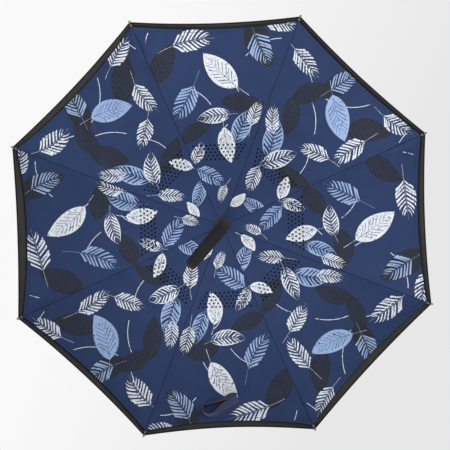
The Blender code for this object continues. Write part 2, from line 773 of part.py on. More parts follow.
def add_top_parts():
    """What is fixed at the top of the shaft."""
    plastic = finish("notch_plastic", (0.03, 0.03, 0.032), 0.45)
    wire = finish("notch_wire_steel", (0.6, 0.6, 0.6), 0.35, 1.0)
    at_notch = (0, 0, NOTCH_HEIGHT)
    add("top_notch", notch_mesh(), plastic, place=at_notch)
    add("notch_wire", wire_mesh(), wire, place=at_notch)
    washer = ring_mesh(SHAFT_RADIUS + GAP, CLAMP_RADIUS, 0, WASHER_HEIGHT)
    add("crown_washer", washer, plastic, place=(0, 0, WASHER_BASE))
    glossy = finish("cap_black", (0.025, 0.025, 0.027), 0.35)
    add("top_cap", cap_mesh(), glossy, place=(0, 0, WASHER_TOP + GAP))


def add_runner_parts():
    """What slides on the shaft."""
    frame = empty("runner_frame", place=(0, 0, RUNNER_HEIGHT))
    plastic = finish("runner_plastic", (0.028, 0.028, 0.03), 0.45)
    wire = finish("runner_wire_steel", (0.6, 0.6, 0.6), 0.35, 1.0)
    add("runner", runner_mesh(), plastic, frame)
    add("runner_wire", wire_mesh(), wire, frame)
    top = -HUB_HALF_HEIGHT - GAP - CLAMP_GAP
    collar = ring_mesh(SLEEVE_RADIUS + GAP, CLAMP_RADIUS, top - CLAMP_HEIGHT, top)
    add("canopy_collar", collar, finish("clamp_plastic", (0.03, 0.03, 0.032), 0.5), frame)


def add_arms():
    """The eight arms, each in its own frame, with every piece's origin on its joint."""
    steel = finish("stretcher_steel", (0.55, 0.56, 0.57), 0.35, 1.0)
    tube = finish("rib_steel", (0.06, 0.06, 0.065), 0.4, 0.6)
    moulded = finish("bracket_plastic", (0.03, 0.03, 0.032), 0.5)
    fibre = finish("rod_fibreglass", (0.04, 0.04, 0.042), 0.45)
    capped = finish("tip_grey", (0.42, 0.43, 0.44), 0.4)
    stretcher, rib, bracket = stretcher_mesh(), rib_mesh(), bracket_mesh()
    rod, tip = rod_mesh(), tip_mesh()
    tip_place = rod_point(ROD_LENGTH)
    tip_turn = math.pi / 2 + ROD_END_SLOPE - ROD_START_SLOPE
    for arm in range(ARM_COUNT):
        mark = arm + 1
        frame = empty(f"arm_{mark}", turn=(0, 0, arm_azimuth(arm)))
        add(
            f"stretcher_{mark}",
            stretcher,
            steel,
            frame,
            (PIVOT_RADIUS, 0, NOTCH_HEIGHT),
            (0, OPEN_TILT, 0),
        )
        inner = empty(f"rib_frame_{mark}", frame, (ELBOW[0], 0, ELBOW[1]), (0, -OPEN_TILT, 0))
        add(f"rib_{mark}", rib, tube, inner)
        add(f"joint_bracket_{mark}", bracket, moulded, inner)
        outer = empty(
            f"rod_frame_{mark}", frame, (FLEX_PIN[0], 0, FLEX_PIN[1]), (0, ROD_START_SLOPE, 0)
        )
        add(f"flex_rod_{mark}", rod, fibre, outer)
        add(f"rib_tip_{mark}", tip, capped, outer, (tip_place[0], 0, tip_place[1]), (0, tip_turn, 0))


def add_soft_parts():
    """Both covers and the tie strap."""
    black = finish("outer_cloth", (0.035, 0.035, 0.036), 0.85)
    navy = finish("inner_cloth", (0.03, 0.06, 0.15), 0.8)
    add_cover("outer_canopy", outer_run(), OUTER_HEM_BOW, 1, black)
    add_cover("inner_canopy", inner_run(), INNER_HEM_BOW, -1, navy)
    add("tie_strap", strap_mesh(), finish("strap_navy", (0.03, 0.05, 0.12), 0.85), smooth=False)


for left_over in list(bpy.data.objects):
    bpy.data.objects.remove(left_over)
add_shaft_parts()
add_top_parts()
add_runner_parts()
add_arms()
add_soft_parts()
bpy.context.view_layer.update()
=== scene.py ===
"""Inverted umbrella with a leaf-printed inner cover and a black outer cover, seen from below."""

import random
from math import atan2, copysign, cos, hypot, pi, radians, sin, tan, tau

import bmesh
import bpy
from mathutils import Matrix, Vector, noise
from mathutils.geometry import delaunay_2d_cdt


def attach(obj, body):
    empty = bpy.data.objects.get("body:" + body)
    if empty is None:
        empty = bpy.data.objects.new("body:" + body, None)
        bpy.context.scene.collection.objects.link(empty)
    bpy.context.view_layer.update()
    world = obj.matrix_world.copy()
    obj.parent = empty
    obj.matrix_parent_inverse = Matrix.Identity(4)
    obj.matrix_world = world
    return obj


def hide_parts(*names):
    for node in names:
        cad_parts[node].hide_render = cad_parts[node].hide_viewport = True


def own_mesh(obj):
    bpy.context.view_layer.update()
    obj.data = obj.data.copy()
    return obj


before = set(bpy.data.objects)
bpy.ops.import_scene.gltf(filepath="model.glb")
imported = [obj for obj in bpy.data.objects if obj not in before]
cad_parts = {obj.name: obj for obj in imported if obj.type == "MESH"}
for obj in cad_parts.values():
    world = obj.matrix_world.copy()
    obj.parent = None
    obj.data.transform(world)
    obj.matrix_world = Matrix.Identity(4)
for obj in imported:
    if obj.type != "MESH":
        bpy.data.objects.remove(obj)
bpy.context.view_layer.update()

# Studio: a strong soft lamp low at the lower left, a weaker one low at the upper right and two
# weak ones above. A pale floor lies far below, and a white backdrop that only the camera, gloss
# and glass see goes all round; overhead it darkens to the picture's right and bottom in a painted
# shadow of the umbrella. The camera looks up the shaft, with the handle's opening lower left.
TIP_PLANE = 0.521
CAMERA_DISTANCE = 3.4
CAMERA_LENS = 112
CAMERA_REACH = 60
UP = Vector((0, 0, 1))
LAMP_AIM = UP * 0.4
LAMPS = (
    # right and up in the photograph's frame, height, size, power
    (-2.7, -3.8, -1.4, 3.6, 208),
    (2.2, 1.2, -2.2, 2.8, 56),
    (1.5, 1.5, 3.4, 2.6, 44),
    (-1.8, -1.6, 3.2, 2.6, 32),
)
FLOOR_HEIGHT = -3.6
FLOOR_SIZE = 110
FLOOR_SIDES = 64
FLOOR_COLOUR = (0.86, 0.86, 0.865, 1)
FLOOR_ROUGHNESS = 0.9
AMBIENT_COLOUR = (1, 1, 1, 1)
AMBIENT = 0.25
BACKDROP_BRIGHT = (0.955, 0.945, 0.95, 1)
# the dim tone is a painted shadow of the umbrella on the backdrop, to the picture's right and bottom
BACKDROP_PAINTED_SHADOW = (0.80, 0.80, 0.805, 1)
BACKDROP_LOW = (0.9, 0.9, 0.905, 1)
FADE_START = 0.42
FADE_END = 0.62
OVERHEAD_START = 0.8  # the rise of the view from which the backdrop begins to fade across
OVERHEAD_FULL = 0.95


def level_direction(azimuth):
    """The level direction at a turn about the shaft."""
    return Vector((cos(azimuth), sin(azimuth), 0))


IMAGE_RIGHT = level_direction(radians(230))
IMAGE_UP = level_direction(radians(140))
CAMERA_ASIDE = IMAGE_RIGHT * -0.032 + IMAGE_UP * -0.017
AIM_ASIDE = IMAGE_RIGHT * 0.0068 + IMAGE_UP * 0.0017
# the way across the picture, to its right and bottom, in which the backdrop's painted shadow deepens
PAINTED_SHADOW_DIRECTION = IMAGE_RIGHT * 0.9 - IMAGE_UP * 0.35


def round_turns(count, offset=0):
    """Even steps of a full turn."""
    return [tau * (i + offset) / count for i in range(count)]


def circle(radius, height, count):
    """The points of a level circle about the shaft."""
    return [(radius * cos(a), radius * sin(a), height) for a in round_turns(count)]


def plain_mesh(name, points, faces):
    """A mesh of the given points and faces."""
    mesh = bpy.data.meshes.new(name)
    mesh.from_pydata(points, [], faces)
    return mesh


def placed(name, data):
    """A new object in the scene, with the given mesh, camera or lamp."""
    made = bpy.data.objects.new(name, data)
    bpy.context.collection.objects.link(made)
    return made


def aimed(thing, place, aim):
    """Puts a camera or lamp in place, looking at the aim with the picture's top side up."""
    back = (place - aim).normalized()
    right = IMAGE_UP.cross(back).normalized()
    turn = Matrix((right, back.cross(right), back)).transposed().to_4x4()
    thing.matrix_world = Matrix.Translation(place) @ turn


def set_inputs(node, values):
    """Sets a node's inputs, given by name or place, or links them to other nodes' outputs."""
    for name, value in values.items():
        if isinstance(value, bpy.types.NodeSocket):
            node.id_data.links.new(value, node.inputs[name])
        else:
            node.inputs[name].default_value = value


def added(nodes, kind, values=None, output=0):
    """One output of a new shader node with the given inputs."""
    node = nodes.new("ShaderNode" + kind)
    set_inputs(node, values or {})
    return node.outputs[output]


def combined(nodes, operation, first, second):
    """The result of a sum on two values."""
    result = added(nodes, "Math", {0: first, 1: second})
    result.node.operation = operation
    return result


def mixed(nodes, factor, first, second):
    """A mix of two colours."""
    mix = nodes.new("ShaderNodeMix")
    mix.data_type = "RGBA"
    set_inputs(mix, {"Factor": factor, "A": first, "B": second})
    return mix.outputs["Result"]


def colour_ramp(nodes, level, *stops):
    """The colour that a ramp between two stops, each a place and a colour, has at a level."""
    colour = added(nodes, "ValToRGB", {0: level})
    for element, (place, tone) in zip(colour.node.color_ramp.elements, stops):
        element.position = place
        element.color = tone
    return colour


def node_material(name):
    """A new material with its nodes and its shader."""
    material = bpy.data.materials.new(name)
    material.use_nodes = True
    nodes = material.node_tree.nodes
    return material, nodes, nodes["Principled BSDF"]


def show_instead(nodes, real, shown, out):
    """Lights with one shader, and shows the other to the camera, in gloss and through glass."""
    path = added(nodes, "LightPath").node.outputs
    seen = path["Is Camera Ray"]
    for ray in ("Is Glossy Ray", "Is Transmission Ray"):
        seen = combined(nodes, "MAXIMUM", seen, path[ray])
    set_inputs(out, {"Surface": added(nodes, "MixShader", {0: seen, 1: real, 2: shown})})


def plain_floor():
    """The floor's round sheet, far enough below to hide nothing from a camera under the umbrella."""
    rim = circle(FLOOR_SIZE / 2, FLOOR_HEIGHT, FLOOR_SIDES)
    mesh = plain_mesh("floor", rim, [range(FLOOR_SIDES)])
    floor = placed("floor", mesh)
    paint, nodes, shader = node_material("floor_paint")
    set_inputs(shader, {"Base Color": FLOOR_COLOUR, "Roughness": FLOOR_ROUGHNESS})
    shown = added(nodes, "Emission", {"Color": BACKDROP_LOW})
    show_instead(nodes, shader.outputs[0], shown, nodes["Material Output"])
    mesh.materials.append(paint)


def backdrop(nodes):
    """The backdrop's colour: one tone at the sides, and overhead a fade from bright to a painted
    shadow to the picture's right and bottom.
    """
    direction = added(nodes, "TexCoord", output="Generated")
    across = added(nodes, "VectorMath", {0: direction, 1: PAINTED_SHADOW_DIRECTION}, 1)
    across.node.operation = "DOT_PRODUCT"
    level = combined(nodes, "ADD", across, 0.5)
    fade = colour_ramp(nodes, level, (FADE_START, BACKDROP_BRIGHT), (FADE_END, BACKDROP_PAINTED_SHADOW))
    rise = added(nodes, "SeparateXYZ", {0: direction}, "Z")
    limits = {"Value": rise, "From Min": OVERHEAD_START, "From Max": OVERHEAD_FULL}
    return mixed(nodes, added(nodes, "MapRange", limits), BACKDROP_LOW, fade)


def white_room():
    """A world that lights the object plainly and shows a pale backdrop behind it."""
    world = bpy.data.worlds.new("room")
    world.use_nodes = True
    scene.world = world
    nodes = world.node_tree.nodes
    nodes.clear()
    out = nodes.new("ShaderNodeOutputWorld")
    ambient = added(nodes, "Background", {"Color": AMBIENT_COLOUR, "Strength": AMBIENT})
    shown = added(nodes, "Background", {"Color": backdrop(nodes)})
    show_instead(nodes, ambient, shown, out)


scene = bpy.context.scene
scene.view_settings.view_transform = "Standard"
camera = placed("camera", bpy.data.cameras.new("camera"))
camera.data.lens = CAMERA_LENS
camera.data.clip_end = CAMERA_REACH
at_tips = UP * TIP_PLANE
aimed(camera, at_tips + CAMERA_ASIDE - UP * CAMERA_DISTANCE, at_tips + AIM_ASIDE)
scene.camera = camera
for right, up, height, size, power in LAMPS:
    lamp = bpy.data.lights.new("soft_lamp", "AREA")
    lamp.size = size
    lamp.energy = power
    aimed(placed("soft_lamp", lamp), IMAGE_RIGHT * right + IMAGE_UP * up + UP * height, LAMP_AIM)
plain_floor()
white_room()

# Shaft: a drawn steel tube with a grey plated finish, held in the handle and in the top notch.
# Two pressed spring-steel catches look out of slots in it and hold the runner open or closed.
MM = 0.001


def linear(*levels):
    """A colour from 0 to 255 levels, as the shaders want it."""
    return tuple(((v / 255 + 0.055) / 1.055) ** 2.4 if v > 10 else v / 255 / 12.92 for v in levels)


def toned(nodes, cloud, levels, change, start, end):
    """A colour that varies with a cloud from a darker to a lighter shade."""
    colour = linear(*levels)
    dark = (*(c * (1 - change) for c in colour), 1)
    light = (*(min(1, c * (1 + change)) for c in colour), 1)
    return colour_ramp(nodes, cloud, (start, dark), (end, light))


def finish(name, levels, roughness, grain, relief, change, metallic=0, stretch=(1, 1, 1), uneven=0.1,
           shine=0.5):
    """A material whose colour, gloss and surface vary with a grain of the given size."""
    material, nodes, shader = node_material(name)
    place = added(nodes, "TexCoord", output="Object")
    scaled = added(nodes, "Mapping", {"Vector": place, "Scale": Vector(stretch) / grain})
    cloud = added(nodes, "TexNoise", {"Vector": scaled, "Scale": 1, "Detail": 4})
    low, high = max(0.02, roughness - uneven), min(1, roughness + uneven)
    set_inputs(shader, {
        "Base Color": toned(nodes, cloud, levels, change, 0.3, 0.7),
        "Metallic": metallic,
        "Roughness": added(nodes, "MapRange", {"Value": cloud, "To Min": low, "To Max": high}),
        "Specular IOR Level": shine,
        "Normal": added(nodes, "Bump", {"Height": cloud, "Distance": relief, "Strength": 0.6}),
    })
    return material


def dress(material, *names):
    """Gives the material to CAD nodes."""
    for name in names:
        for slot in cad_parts[name].material_slots:
            slot.material = material


plated = finish("plated_steel", (140, 142, 147), 0.42, grain=3 * MM, relief=0.01 * MM, change=0.06,
                metallic=1, stretch=(1, 1, 0.04), uneven=0.08)
sprung = finish("sprung_steel", (150, 150, 148), 0.35, grain=1 * MM, relief=0.02 * MM, change=0.12,
                metallic=1, stretch=(1, 1, 0.2))
dress(plated, "shaft")
dress(sprung, "open_catch", "closed_catch")

# Handle: a C of black ABS with a soft matte coat, moulded in two halves and glued on the shaft.
# A narrow grey collar closes the joint between its neck and the tube.
HANDLE_HEIGHT = 150 * MM
HANDLE_REACH = 114 * MM
HANDLE_WIDTH = 28 * MM
HANDLE_END_WIDTH = 25 * MM
HANDLE_DEPTH = 24 * MM
HANDLE_CORNER = 50 * MM
HANDLE_SIDES = 28
HANDLE_SQUARING = 0.86  # the power that makes an oval a little squarer
HANDLE_GRID = 1.3 * MM
HANDLE_SMOOTHINGS = 8
BAR_STEPS = 8
CORNER_STEPS = 18
NOSE_STEPS = 6
NOSE_TURN = radians(84)
NECK_RADIUS = 12.5 * MM
NECK_TOP = 104 * MM
NECK_FOOT = 40 * MM
NECK_FLARES = ((0, 1.0), (0.25, 1.06), (0.45, 1.03), (0.7, 1.0), (0.96, 1.0), (1, 0.95))


def piece(name, mesh, *materials):
    """A named object of the umbrella."""
    made = placed(name, mesh)
    for material in materials:
        mesh.materials.append(material)
    mesh.shade_smooth()
    return made


def as_mesh(bm, name):
    """The mesh that a finished piece of mesh work gives."""
    mesh = bpy.data.meshes.new(name)
    bm.to_mesh(mesh)
    bm.free()
    return mesh


def walled(bm, rings, colour=0):
    """Adds faces between neighbouring rings of points; gives the rings' corners."""
    rows = [[bm.verts.new(p) for p in ring] for ring in rings]
    sides = len(rings[0])
    for low, high in zip(rows, rows[1:]):
        for i in range(sides):
            j = (i + 1) % sides
            bm.faces.new((low[i], low[j], high[j], high[i])).material_index = colour
    return rows


def skinned(rings, name):
    """A closed skin over rings that have the same number of points."""
    bm = bmesh.new()
    rows = walled(bm, rings)
    bm.faces.new(rows[0])
    bm.faces.new(rows[-1])
    bmesh.ops.recalc_face_normals(bm, faces=bm.faces)
    return as_mesh(bm, name)


def squared(turn):
    """The cosine and sine of a turn, pushed outwards to a squarer oval."""
    parts = (cos(turn), sin(turn))
    return [copysign(abs(part) ** HANDLE_SQUARING, part) for part in parts]


def handle_line():
    """The C's middle line from its lower end to its upper end, with headings."""
    half = (HANDLE_HEIGHT - HANDLE_DEPTH) / 2
    end = HANDLE_REACH - HANDLE_DEPTH / 2
    line = []
    for i in range(BAR_STEPS):
        line.append((Vector((end + (HANDLE_CORNER - end) * i / BAR_STEPS, 0, -half)), pi))
    for i in range(CORNER_STEPS + 1):
        turn = pi / 2 * i / CORNER_STEPS
        point = Vector((-sin(turn), 0, -cos(turn))) * HANDLE_CORNER
        line.append((point + Vector((HANDLE_CORNER, 0, HANDLE_CORNER - half)), pi - turn))
    mirrored = [(Vector((p.x, 0, -p.z)), pi - h) for p, h in reversed(line)]
    return line + mirrored


def handle_ring(point, heading, width, depth):
    """One ring across the C's bar."""
    across = Vector((-sin(heading), 0, cos(heading)))
    ring = []
    for turn in round_turns(HANDLE_SIDES):
        wide, deep = squared(turn)
        ring.append(point + Vector((0, width / 2 * wide, 0)) + across * (depth / 2 * deep))
    return ring


def handle_nose(point, heading, sense):
    """The rings of one domed end, from its tip inwards."""
    ahead = Vector((cos(heading), 0, sin(heading)))
    rings = []
    for i in range(NOSE_STEPS):
        turn = NOSE_TURN * (NOSE_STEPS - i) / NOSE_STEPS
        place = point + ahead * (sense * HANDLE_DEPTH / 2 * sin(turn))
        size = cos(turn)
        rings.append(handle_ring(place, heading, HANDLE_END_WIDTH * size, HANDLE_DEPTH * size))
    return rings


def handle_bar():
    """The C with its two domed ends."""
    line = handle_line()
    rings = handle_nose(*line[0], -1)
    for i, (point, heading) in enumerate(line):
        share = sin(pi * i / (len(line) - 1))
        width = HANDLE_END_WIDTH + (HANDLE_WIDTH - HANDLE_END_WIDTH) * share
        rings.append(handle_ring(point, heading, width, HANDLE_DEPTH))
    rings += handle_nose(*line[-1], 1)[::-1]
    return skinned(rings, "handle_bar")


def handle_neck():
    """The neck, flared where it runs into the C."""
    rings = []
    for share, flare in NECK_FLARES:
        height = NECK_FOOT + (NECK_TOP - NECK_FOOT) * share
        rings.append(circle(NECK_RADIUS * flare, height, HANDLE_SIDES))
    return skinned(rings, "handle_neck")


def merged(name, meshes, grid, smoothing):
    """One smooth skin round several overlapping solids."""
    bm = bmesh.new()
    for mesh in meshes:
        bm.from_mesh(mesh)
    rough = placed(name, as_mesh(bm, name))
    remesh = rough.modifiers.new("skin", "REMESH")
    remesh.mode = "VOXEL"
    remesh.voxel_size = grid
    smooth = rough.modifiers.new("smooth", "SMOOTH")
    smooth.factor = 0.5
    smooth.iterations = smoothing
    graph = bpy.context.evaluated_depsgraph_get()
    mesh = bpy.data.meshes.new_from_object(rough.evaluated_get(graph))
    bpy.data.objects.remove(rough)
    return mesh


soft_black = finish("soft_black_coat", (37, 37, 41), 0.7, grain=0.5 * MM, relief=0.03 * MM,
                    change=0.1, shine=0.12)
satin_grey = finish("satin_grey", (150, 152, 155), 0.42, grain=1 * MM, relief=0.02 * MM, change=0.06)
solids = [handle_bar(), handle_neck()]
handle = piece("c_grip", merged("c_grip", solids, HANDLE_GRID, HANDLE_SMOOTHINGS), soft_black)
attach(handle, "frame")
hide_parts("c_handle")
dress(satin_grey, "handle_collar")

# Notch and runner: black moulded nylon hubs with eight slots and a steel wire ring through the
# arms' eyes. The notch is pinned to the shaft; the runner slides and ends in a grip sleeve.
moulded = finish("moulded_black", (40, 40, 42), 0.5, grain=0.6 * MM, relief=0.03 * MM, change=0.12)
wire_steel = finish("ring_wire", (190, 190, 190), 0.3, grain=0.6 * MM, relief=0.01 * MM, change=0.1,
                    metallic=1)
dress(moulded, "top_notch", "runner")
dress(wire_steel, "notch_wire", "runner_wire")

# Arms: pressed steel stretchers, black coated ribs with moulded brackets, and black pultruded
# fibreglass rods. Each hangs on plain pins; the rods spring straight as the umbrella closes.
ARM_COUNT = 8
pressed = finish("pressed_steel", (170, 172, 175), 0.35, grain=2 * MM, relief=0.02 * MM, change=0.1,
                 metallic=1, stretch=(0.2, 0.2, 1))
coated = finish("coated_tube", (52, 52, 55), 0.4, grain=1.5 * MM, relief=0.02 * MM, change=0.12,
                stretch=(0.3, 0.3, 1))
fibre = finish("glass_fibre", (38, 38, 40), 0.45, grain=0.8 * MM, relief=0.02 * MM, change=0.2,
               stretch=(0.15, 0.15, 1))
for mark in range(1, ARM_COUNT + 1):
    dress(pressed, f"stretcher_{mark}")
    dress(coated, f"rib_{mark}")
    dress(moulded, f"joint_bracket_{mark}")
    dress(fibre, f"flex_rod_{mark}")

# Tips: grey moulded caps, pushed over the rods' ends and whipped with black thread to the
# corners of the outer cover.
ARM_PHASE = radians(25.5)
LINK_LENGTH = 250 * MM
OPEN_TILT = radians(6)
PIVOT_RADIUS = 14 * MM
NOTCH_HEIGHT = 645 * MM
RIB_DROP = 6 * MM
FLEX_SETBACK = 14 * MM
ROD_LENGTH = 285 * MM
ROD_START_SLOPE = radians(3)
ROD_END_SLOPE = radians(36)
ROD_BEND_RADIUS = ROD_LENGTH / (ROD_END_SLOPE - ROD_START_SLOPE)
# Places along the cap and its thread from the rod's end, and radii, in mm
TIP_OUTLINE = ((-12, 2.2), (-11.6, 2.75), (-4, 2.85), (-1, 3.0), (0.6, 3.0), (2.2, 2.75), (3.8, 2.2),
               (5.1, 1.35), (5.9, 0.5))
THREAD_OUTLINE = ((-4.4, 2.7), (-4.1, 3.35), (-1.3, 3.45), (-0.9, 2.8))
TIP_SIDES = 20
ELBOW = (
    PIVOT_RADIUS + LINK_LENGTH * cos(OPEN_TILT),
    NOTCH_HEIGHT - LINK_LENGTH * sin(OPEN_TILT),
)


def in_rib_frame(along, up):
    """An arm's (radius, height) of a point given along and square to its rib, from the elbow."""
    c, s = cos(OPEN_TILT), sin(OPEN_TILT)
    return ELBOW[0] + along * c - up * s, ELBOW[1] + along * s + up * c


FLEX_PIN = in_rib_frame(FLEX_SETBACK, -RIB_DROP * (LINK_LENGTH + FLEX_SETBACK) / LINK_LENGTH)


def rod_in_arm(travel, lift):
    """An arm's (radius, height) of a point along the bent rod, lifted square to it."""
    slope = ROD_START_SLOPE + travel / ROD_BEND_RADIUS
    start = ROD_START_SLOPE
    out = ROD_BEND_RADIUS * (sin(slope) - sin(start)) + lift * sin(slope)
    up = ROD_BEND_RADIUS * (cos(slope) - cos(start)) + lift * cos(slope)
    return FLEX_PIN[0] + out, FLEX_PIN[1] + up


def arm_direction(arm):
    """The level direction of an arm; halves give the middle of a gore."""
    return level_direction(ARM_PHASE + tau * arm / ARM_COUNT)


def round_ring(centre, side, above, radius, sides):
    """The points of a circle in the plane of two directions."""
    turns = round_turns(sides)
    return [centre + (side * cos(a) + above * sin(a)) * radius for a in turns]


def tip_mesh(arm):
    """One cap and its thread, turned about the end of the rod."""
    radius, height = rod_in_arm(ROD_LENGTH, 0)
    out = arm_direction(arm)
    ahead = out * cos(ROD_END_SLOPE) - UP * sin(ROD_END_SLOPE)
    side = ahead.cross(UP).normalized()
    above = side.cross(ahead)
    base = out * radius + UP * height
    bm = bmesh.new()
    for colour, outline in enumerate((TIP_OUTLINE, THREAD_OUTLINE)):
        rings = []
        for along, size in outline:
            centre = base + ahead * (along * MM)
            rings.append(round_ring(centre, side, above, size * MM, TIP_SIDES))
        skin = skinned(rings, "turned")
        for face in skin.polygons:
            face.material_index = colour
        bm.from_mesh(skin)
        bpy.data.meshes.remove(skin)
    return as_mesh(bm, f"tip_{arm + 1}")


tip_grey = finish("tip_grey", (118, 119, 118), 0.45, grain=1 * MM, relief=0.02 * MM, change=0.06)
thread = finish("black_thread", (22, 22, 23), 0.8, grain=0.4 * MM, relief=0.1 * MM, change=0.2,
                shine=0.2)
for arm in range(ARM_COUNT):
    cap = piece(f"tip_{arm + 1}", tip_mesh(arm), tip_grey, thread)
    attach(cap, f"rod_link_{arm + 1}")
    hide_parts(f"rib_tip_{arm + 1}")

# Outer cover: eight gores of plain black pongee, felled together over the ribs and bound with a
# narrow rolled hem. It is clamped under the crown washer and sewn to the rib tips.
# Each piece here is the cloth about one arm, hung on one of the arm's links.
CLAMP_RADIUS = 18 * MM
HOLE_GAP = 1.2 * MM
SHAFT_RADIUS = 7 * MM
RING_STEPS = 48
COVER_LIFT = 3.9 * MM
OUTER_BASE = 652.3 * MM
OUTER_ELBOW_LIFT = 4.9 * MM
COVER_BEND = 60 * MM
COVER_SHORT = 1.5 * MM
COVER_STEPS = 12
ROUNDING = 14 * MM
ROUNDING_STEPS = 3
GORE_DIP = 5 * MM
DIP_REACH = 120 * MM  # from the clamp to where the hollow and the wrinkles are full
WRINKLE = 0.9 * MM
WRINKLE_SIZE = 45 * MM
WRINKLE_ALONG = 1.3
WRINKLE_ACROSS = 0.2
WRINKLE_FAN = 0.3
WRINKLE_APART = 3.7
WRINKLE_AT_ARM = 0.35
PULL_REACH = 190 * MM
PULL_START = 30 * MM
PULL_PITCH = radians(25)
PULL_SLOPE = 0.04
PULL_GORE_PHASE = 2.4
PULL_SIDE_PHASE = 0.8
OUTER_BOWS = tuple(b * MM for b in (5.7, 9, 10.1, 8.5, 9.2, 7.4, 12.9, 9.6))
HALF_GORE = pi / ARM_COUNT
HALVES = ((0, 1), (1, -1))  # the side's number, and 1 for the gore after the arm or -1 for that before
MIDDLE_STEPS = 12
CLOTH_GRID = 11 * MM
GRID_ROW = 0.87  # a row's height in a net of even triangles
GRID_FIRST_ROW = 3
GRID_EDGE = 0.985
POINT_MERGING = 0.05 * MM  # nearer points of the cut become one, so no sliver is shaded oddly
SAME_POINT = 0.01 * MM
HOLE = -1  # the colour of a shape that is cut out
HEM_STEPS = 10
SEAM_STEPS = 20
GATHERS = (0.185, 0.145)
TUCK = 7 * MM
TUCK_DEPTH = 0.4 * MM
PIPING_RADIUS = 0.9 * MM
PIPING_SIDES = 6
# half width of the seam strip, which is painted darker as the shade of the crease over the rib
SEAM_HALF_WIDTH = 0.9 * MM
HEM_STITCH_INSET = 7 * MM
STITCH_WIDTH = 0.6 * MM
THREAD_RELIEF = 0.04 * MM
BINDING_WIDTH = 3.8 * MM
BINDING_OVER = 1 * MM  # how far its strip runs on past the hem, where the cloth's outline cuts it
OUTER_FLATS = ((0.22, 0.25), (0.43, 0.32))  # width and length of the flat inner and outer piece


def over_rods(sense, middle):
    """A cover's row of (radius, height) points on an arm: its middle points, then the rod's."""
    end = ROD_LENGTH - COVER_SHORT
    steps = [COVER_BEND + (end - COVER_BEND) * i / COVER_STEPS for i in range(COVER_STEPS + 1)]
    return middle + [rod_in_arm(travel, sense * COVER_LIFT) for travel in steps]


def height_along(row, radius):
    """The row's height at a radius, carried on past both of its ends."""
    for (r0, z0), (r1, z1) in zip(row, row[1:]):
        if radius <= r1:
            break
    return z0 + (z1 - z0) * (radius - r0) / (r1 - r0)


def cover_height(row, radius, share, gore):
    """The height of the taut cloth, a little hollow between the arms."""
    count = 2 * ROUNDING_STEPS + 1
    steps = [radius + ROUNDING * (i / ROUNDING_STEPS - 1) for i in range(count)]
    level = sum(height_along(row, r) for r in steps) / count
    rise = min(1, max(0, (radius - CLAMP_RADIUS) / DIP_REACH))
    hollow = 1 - share * share
    across = share * WRINKLE_ACROSS * (WRINKLE_FAN + radius)
    spot = Vector((radius * WRINKLE_ALONG, across, gore * WRINKLE_APART)) / WRINKLE_SIZE
    ripple = noise.noise(spot) * WRINKLE * (WRINKLE_AT_ARM + (1 - WRINKLE_AT_ARM) * hollow)
    return level - (GORE_DIP * hollow - ripple) * rise


def hem_points(end_radius, bow):
    """A gore's hem as (apothem, aside) from one arm to the next."""
    points = []
    for i in range(2 * HEM_STEPS + 1):
        share = i / (2 * HEM_STEPS)
        radius = end_radius - bow * 4 * share * (1 - share)
        points.append((radius * cos(HALF_GORE), radius * sin(HALF_GORE) * (2 * share - 1)))
    return points


def half_hem(end_radius, bow, sense, beyond=0):
    """The half of a gore's hem next to an arm, and some steps beyond its middle."""
    hem = hem_points(end_radius, bow)
    return hem[: HEM_STEPS + 1 + beyond] if sense > 0 else hem[HEM_STEPS - beyond :]


def to_arm(point, sense):
    """A gore's (apothem, aside) point in an arm's own level frame; sense 1 is the gore after it."""
    turn = HALF_GORE * sense
    u, v = point
    return Vector((u * cos(turn) - v * sin(turn), u * sin(turn) + v * cos(turn)))


def half_gore(end_radius, bow, sense):
    """The outline, in an arm's frame, of the half gore on one side of it."""
    edge = half_hem(end_radius, bow, sense)
    if sense < 0:
        edge = edge[::-1]
    start, end = CLAMP_RADIUS * cos(HALF_GORE), edge[-1][0]
    corner = (start, -sense * CLAMP_RADIUS * sin(HALF_GORE))
    middle = [(start + (end - start) * i / MIDDLE_STEPS, 0) for i in range(MIDDLE_STEPS)]
    return [to_arm(p, sense) for p in [corner] + edge + middle[::-1]]


def grid_points(reach):
    """Loose points that keep the cloth's triangles small enough to curve."""
    points = []
    rows = int(reach / CLOTH_GRID)
    for i in range(GRID_FIRST_ROW, rows):
        for j in range(-rows // 2, rows // 2 + 1):
            spot = Vector((i * CLOTH_GRID * GRID_ROW, (j + (i % 2) / 2) * CLOTH_GRID))
            if abs(atan2(spot.y, spot.x)) < HALF_GORE * GRID_EDGE and spot.length < reach:
                points.append(spot)
    return points


def anticlockwise(outline):
    """The outline's points as vectors, turned to run anticlockwise."""
    points = [Vector(p) for p in outline]
    twice_area = sum(a.x * b.y - b.x * a.y for a, b in zip(points, points[1:] + points[:1]))
    return points if twice_area > 0 else points[::-1]


def top_colour(owners, shapes):
    """The colour of the last painted shape over a triangle, or nothing off the two half gores."""
    side = 0 if 0 in owners else 1 if 1 in owners else HOLE
    if side == HOLE:
        return HOLE
    colour = 0
    for owner in sorted(owners):
        if owner > 1 and shapes[owner - 2][0] in (side, None):
            colour = shapes[owner - 2][2]
    return colour


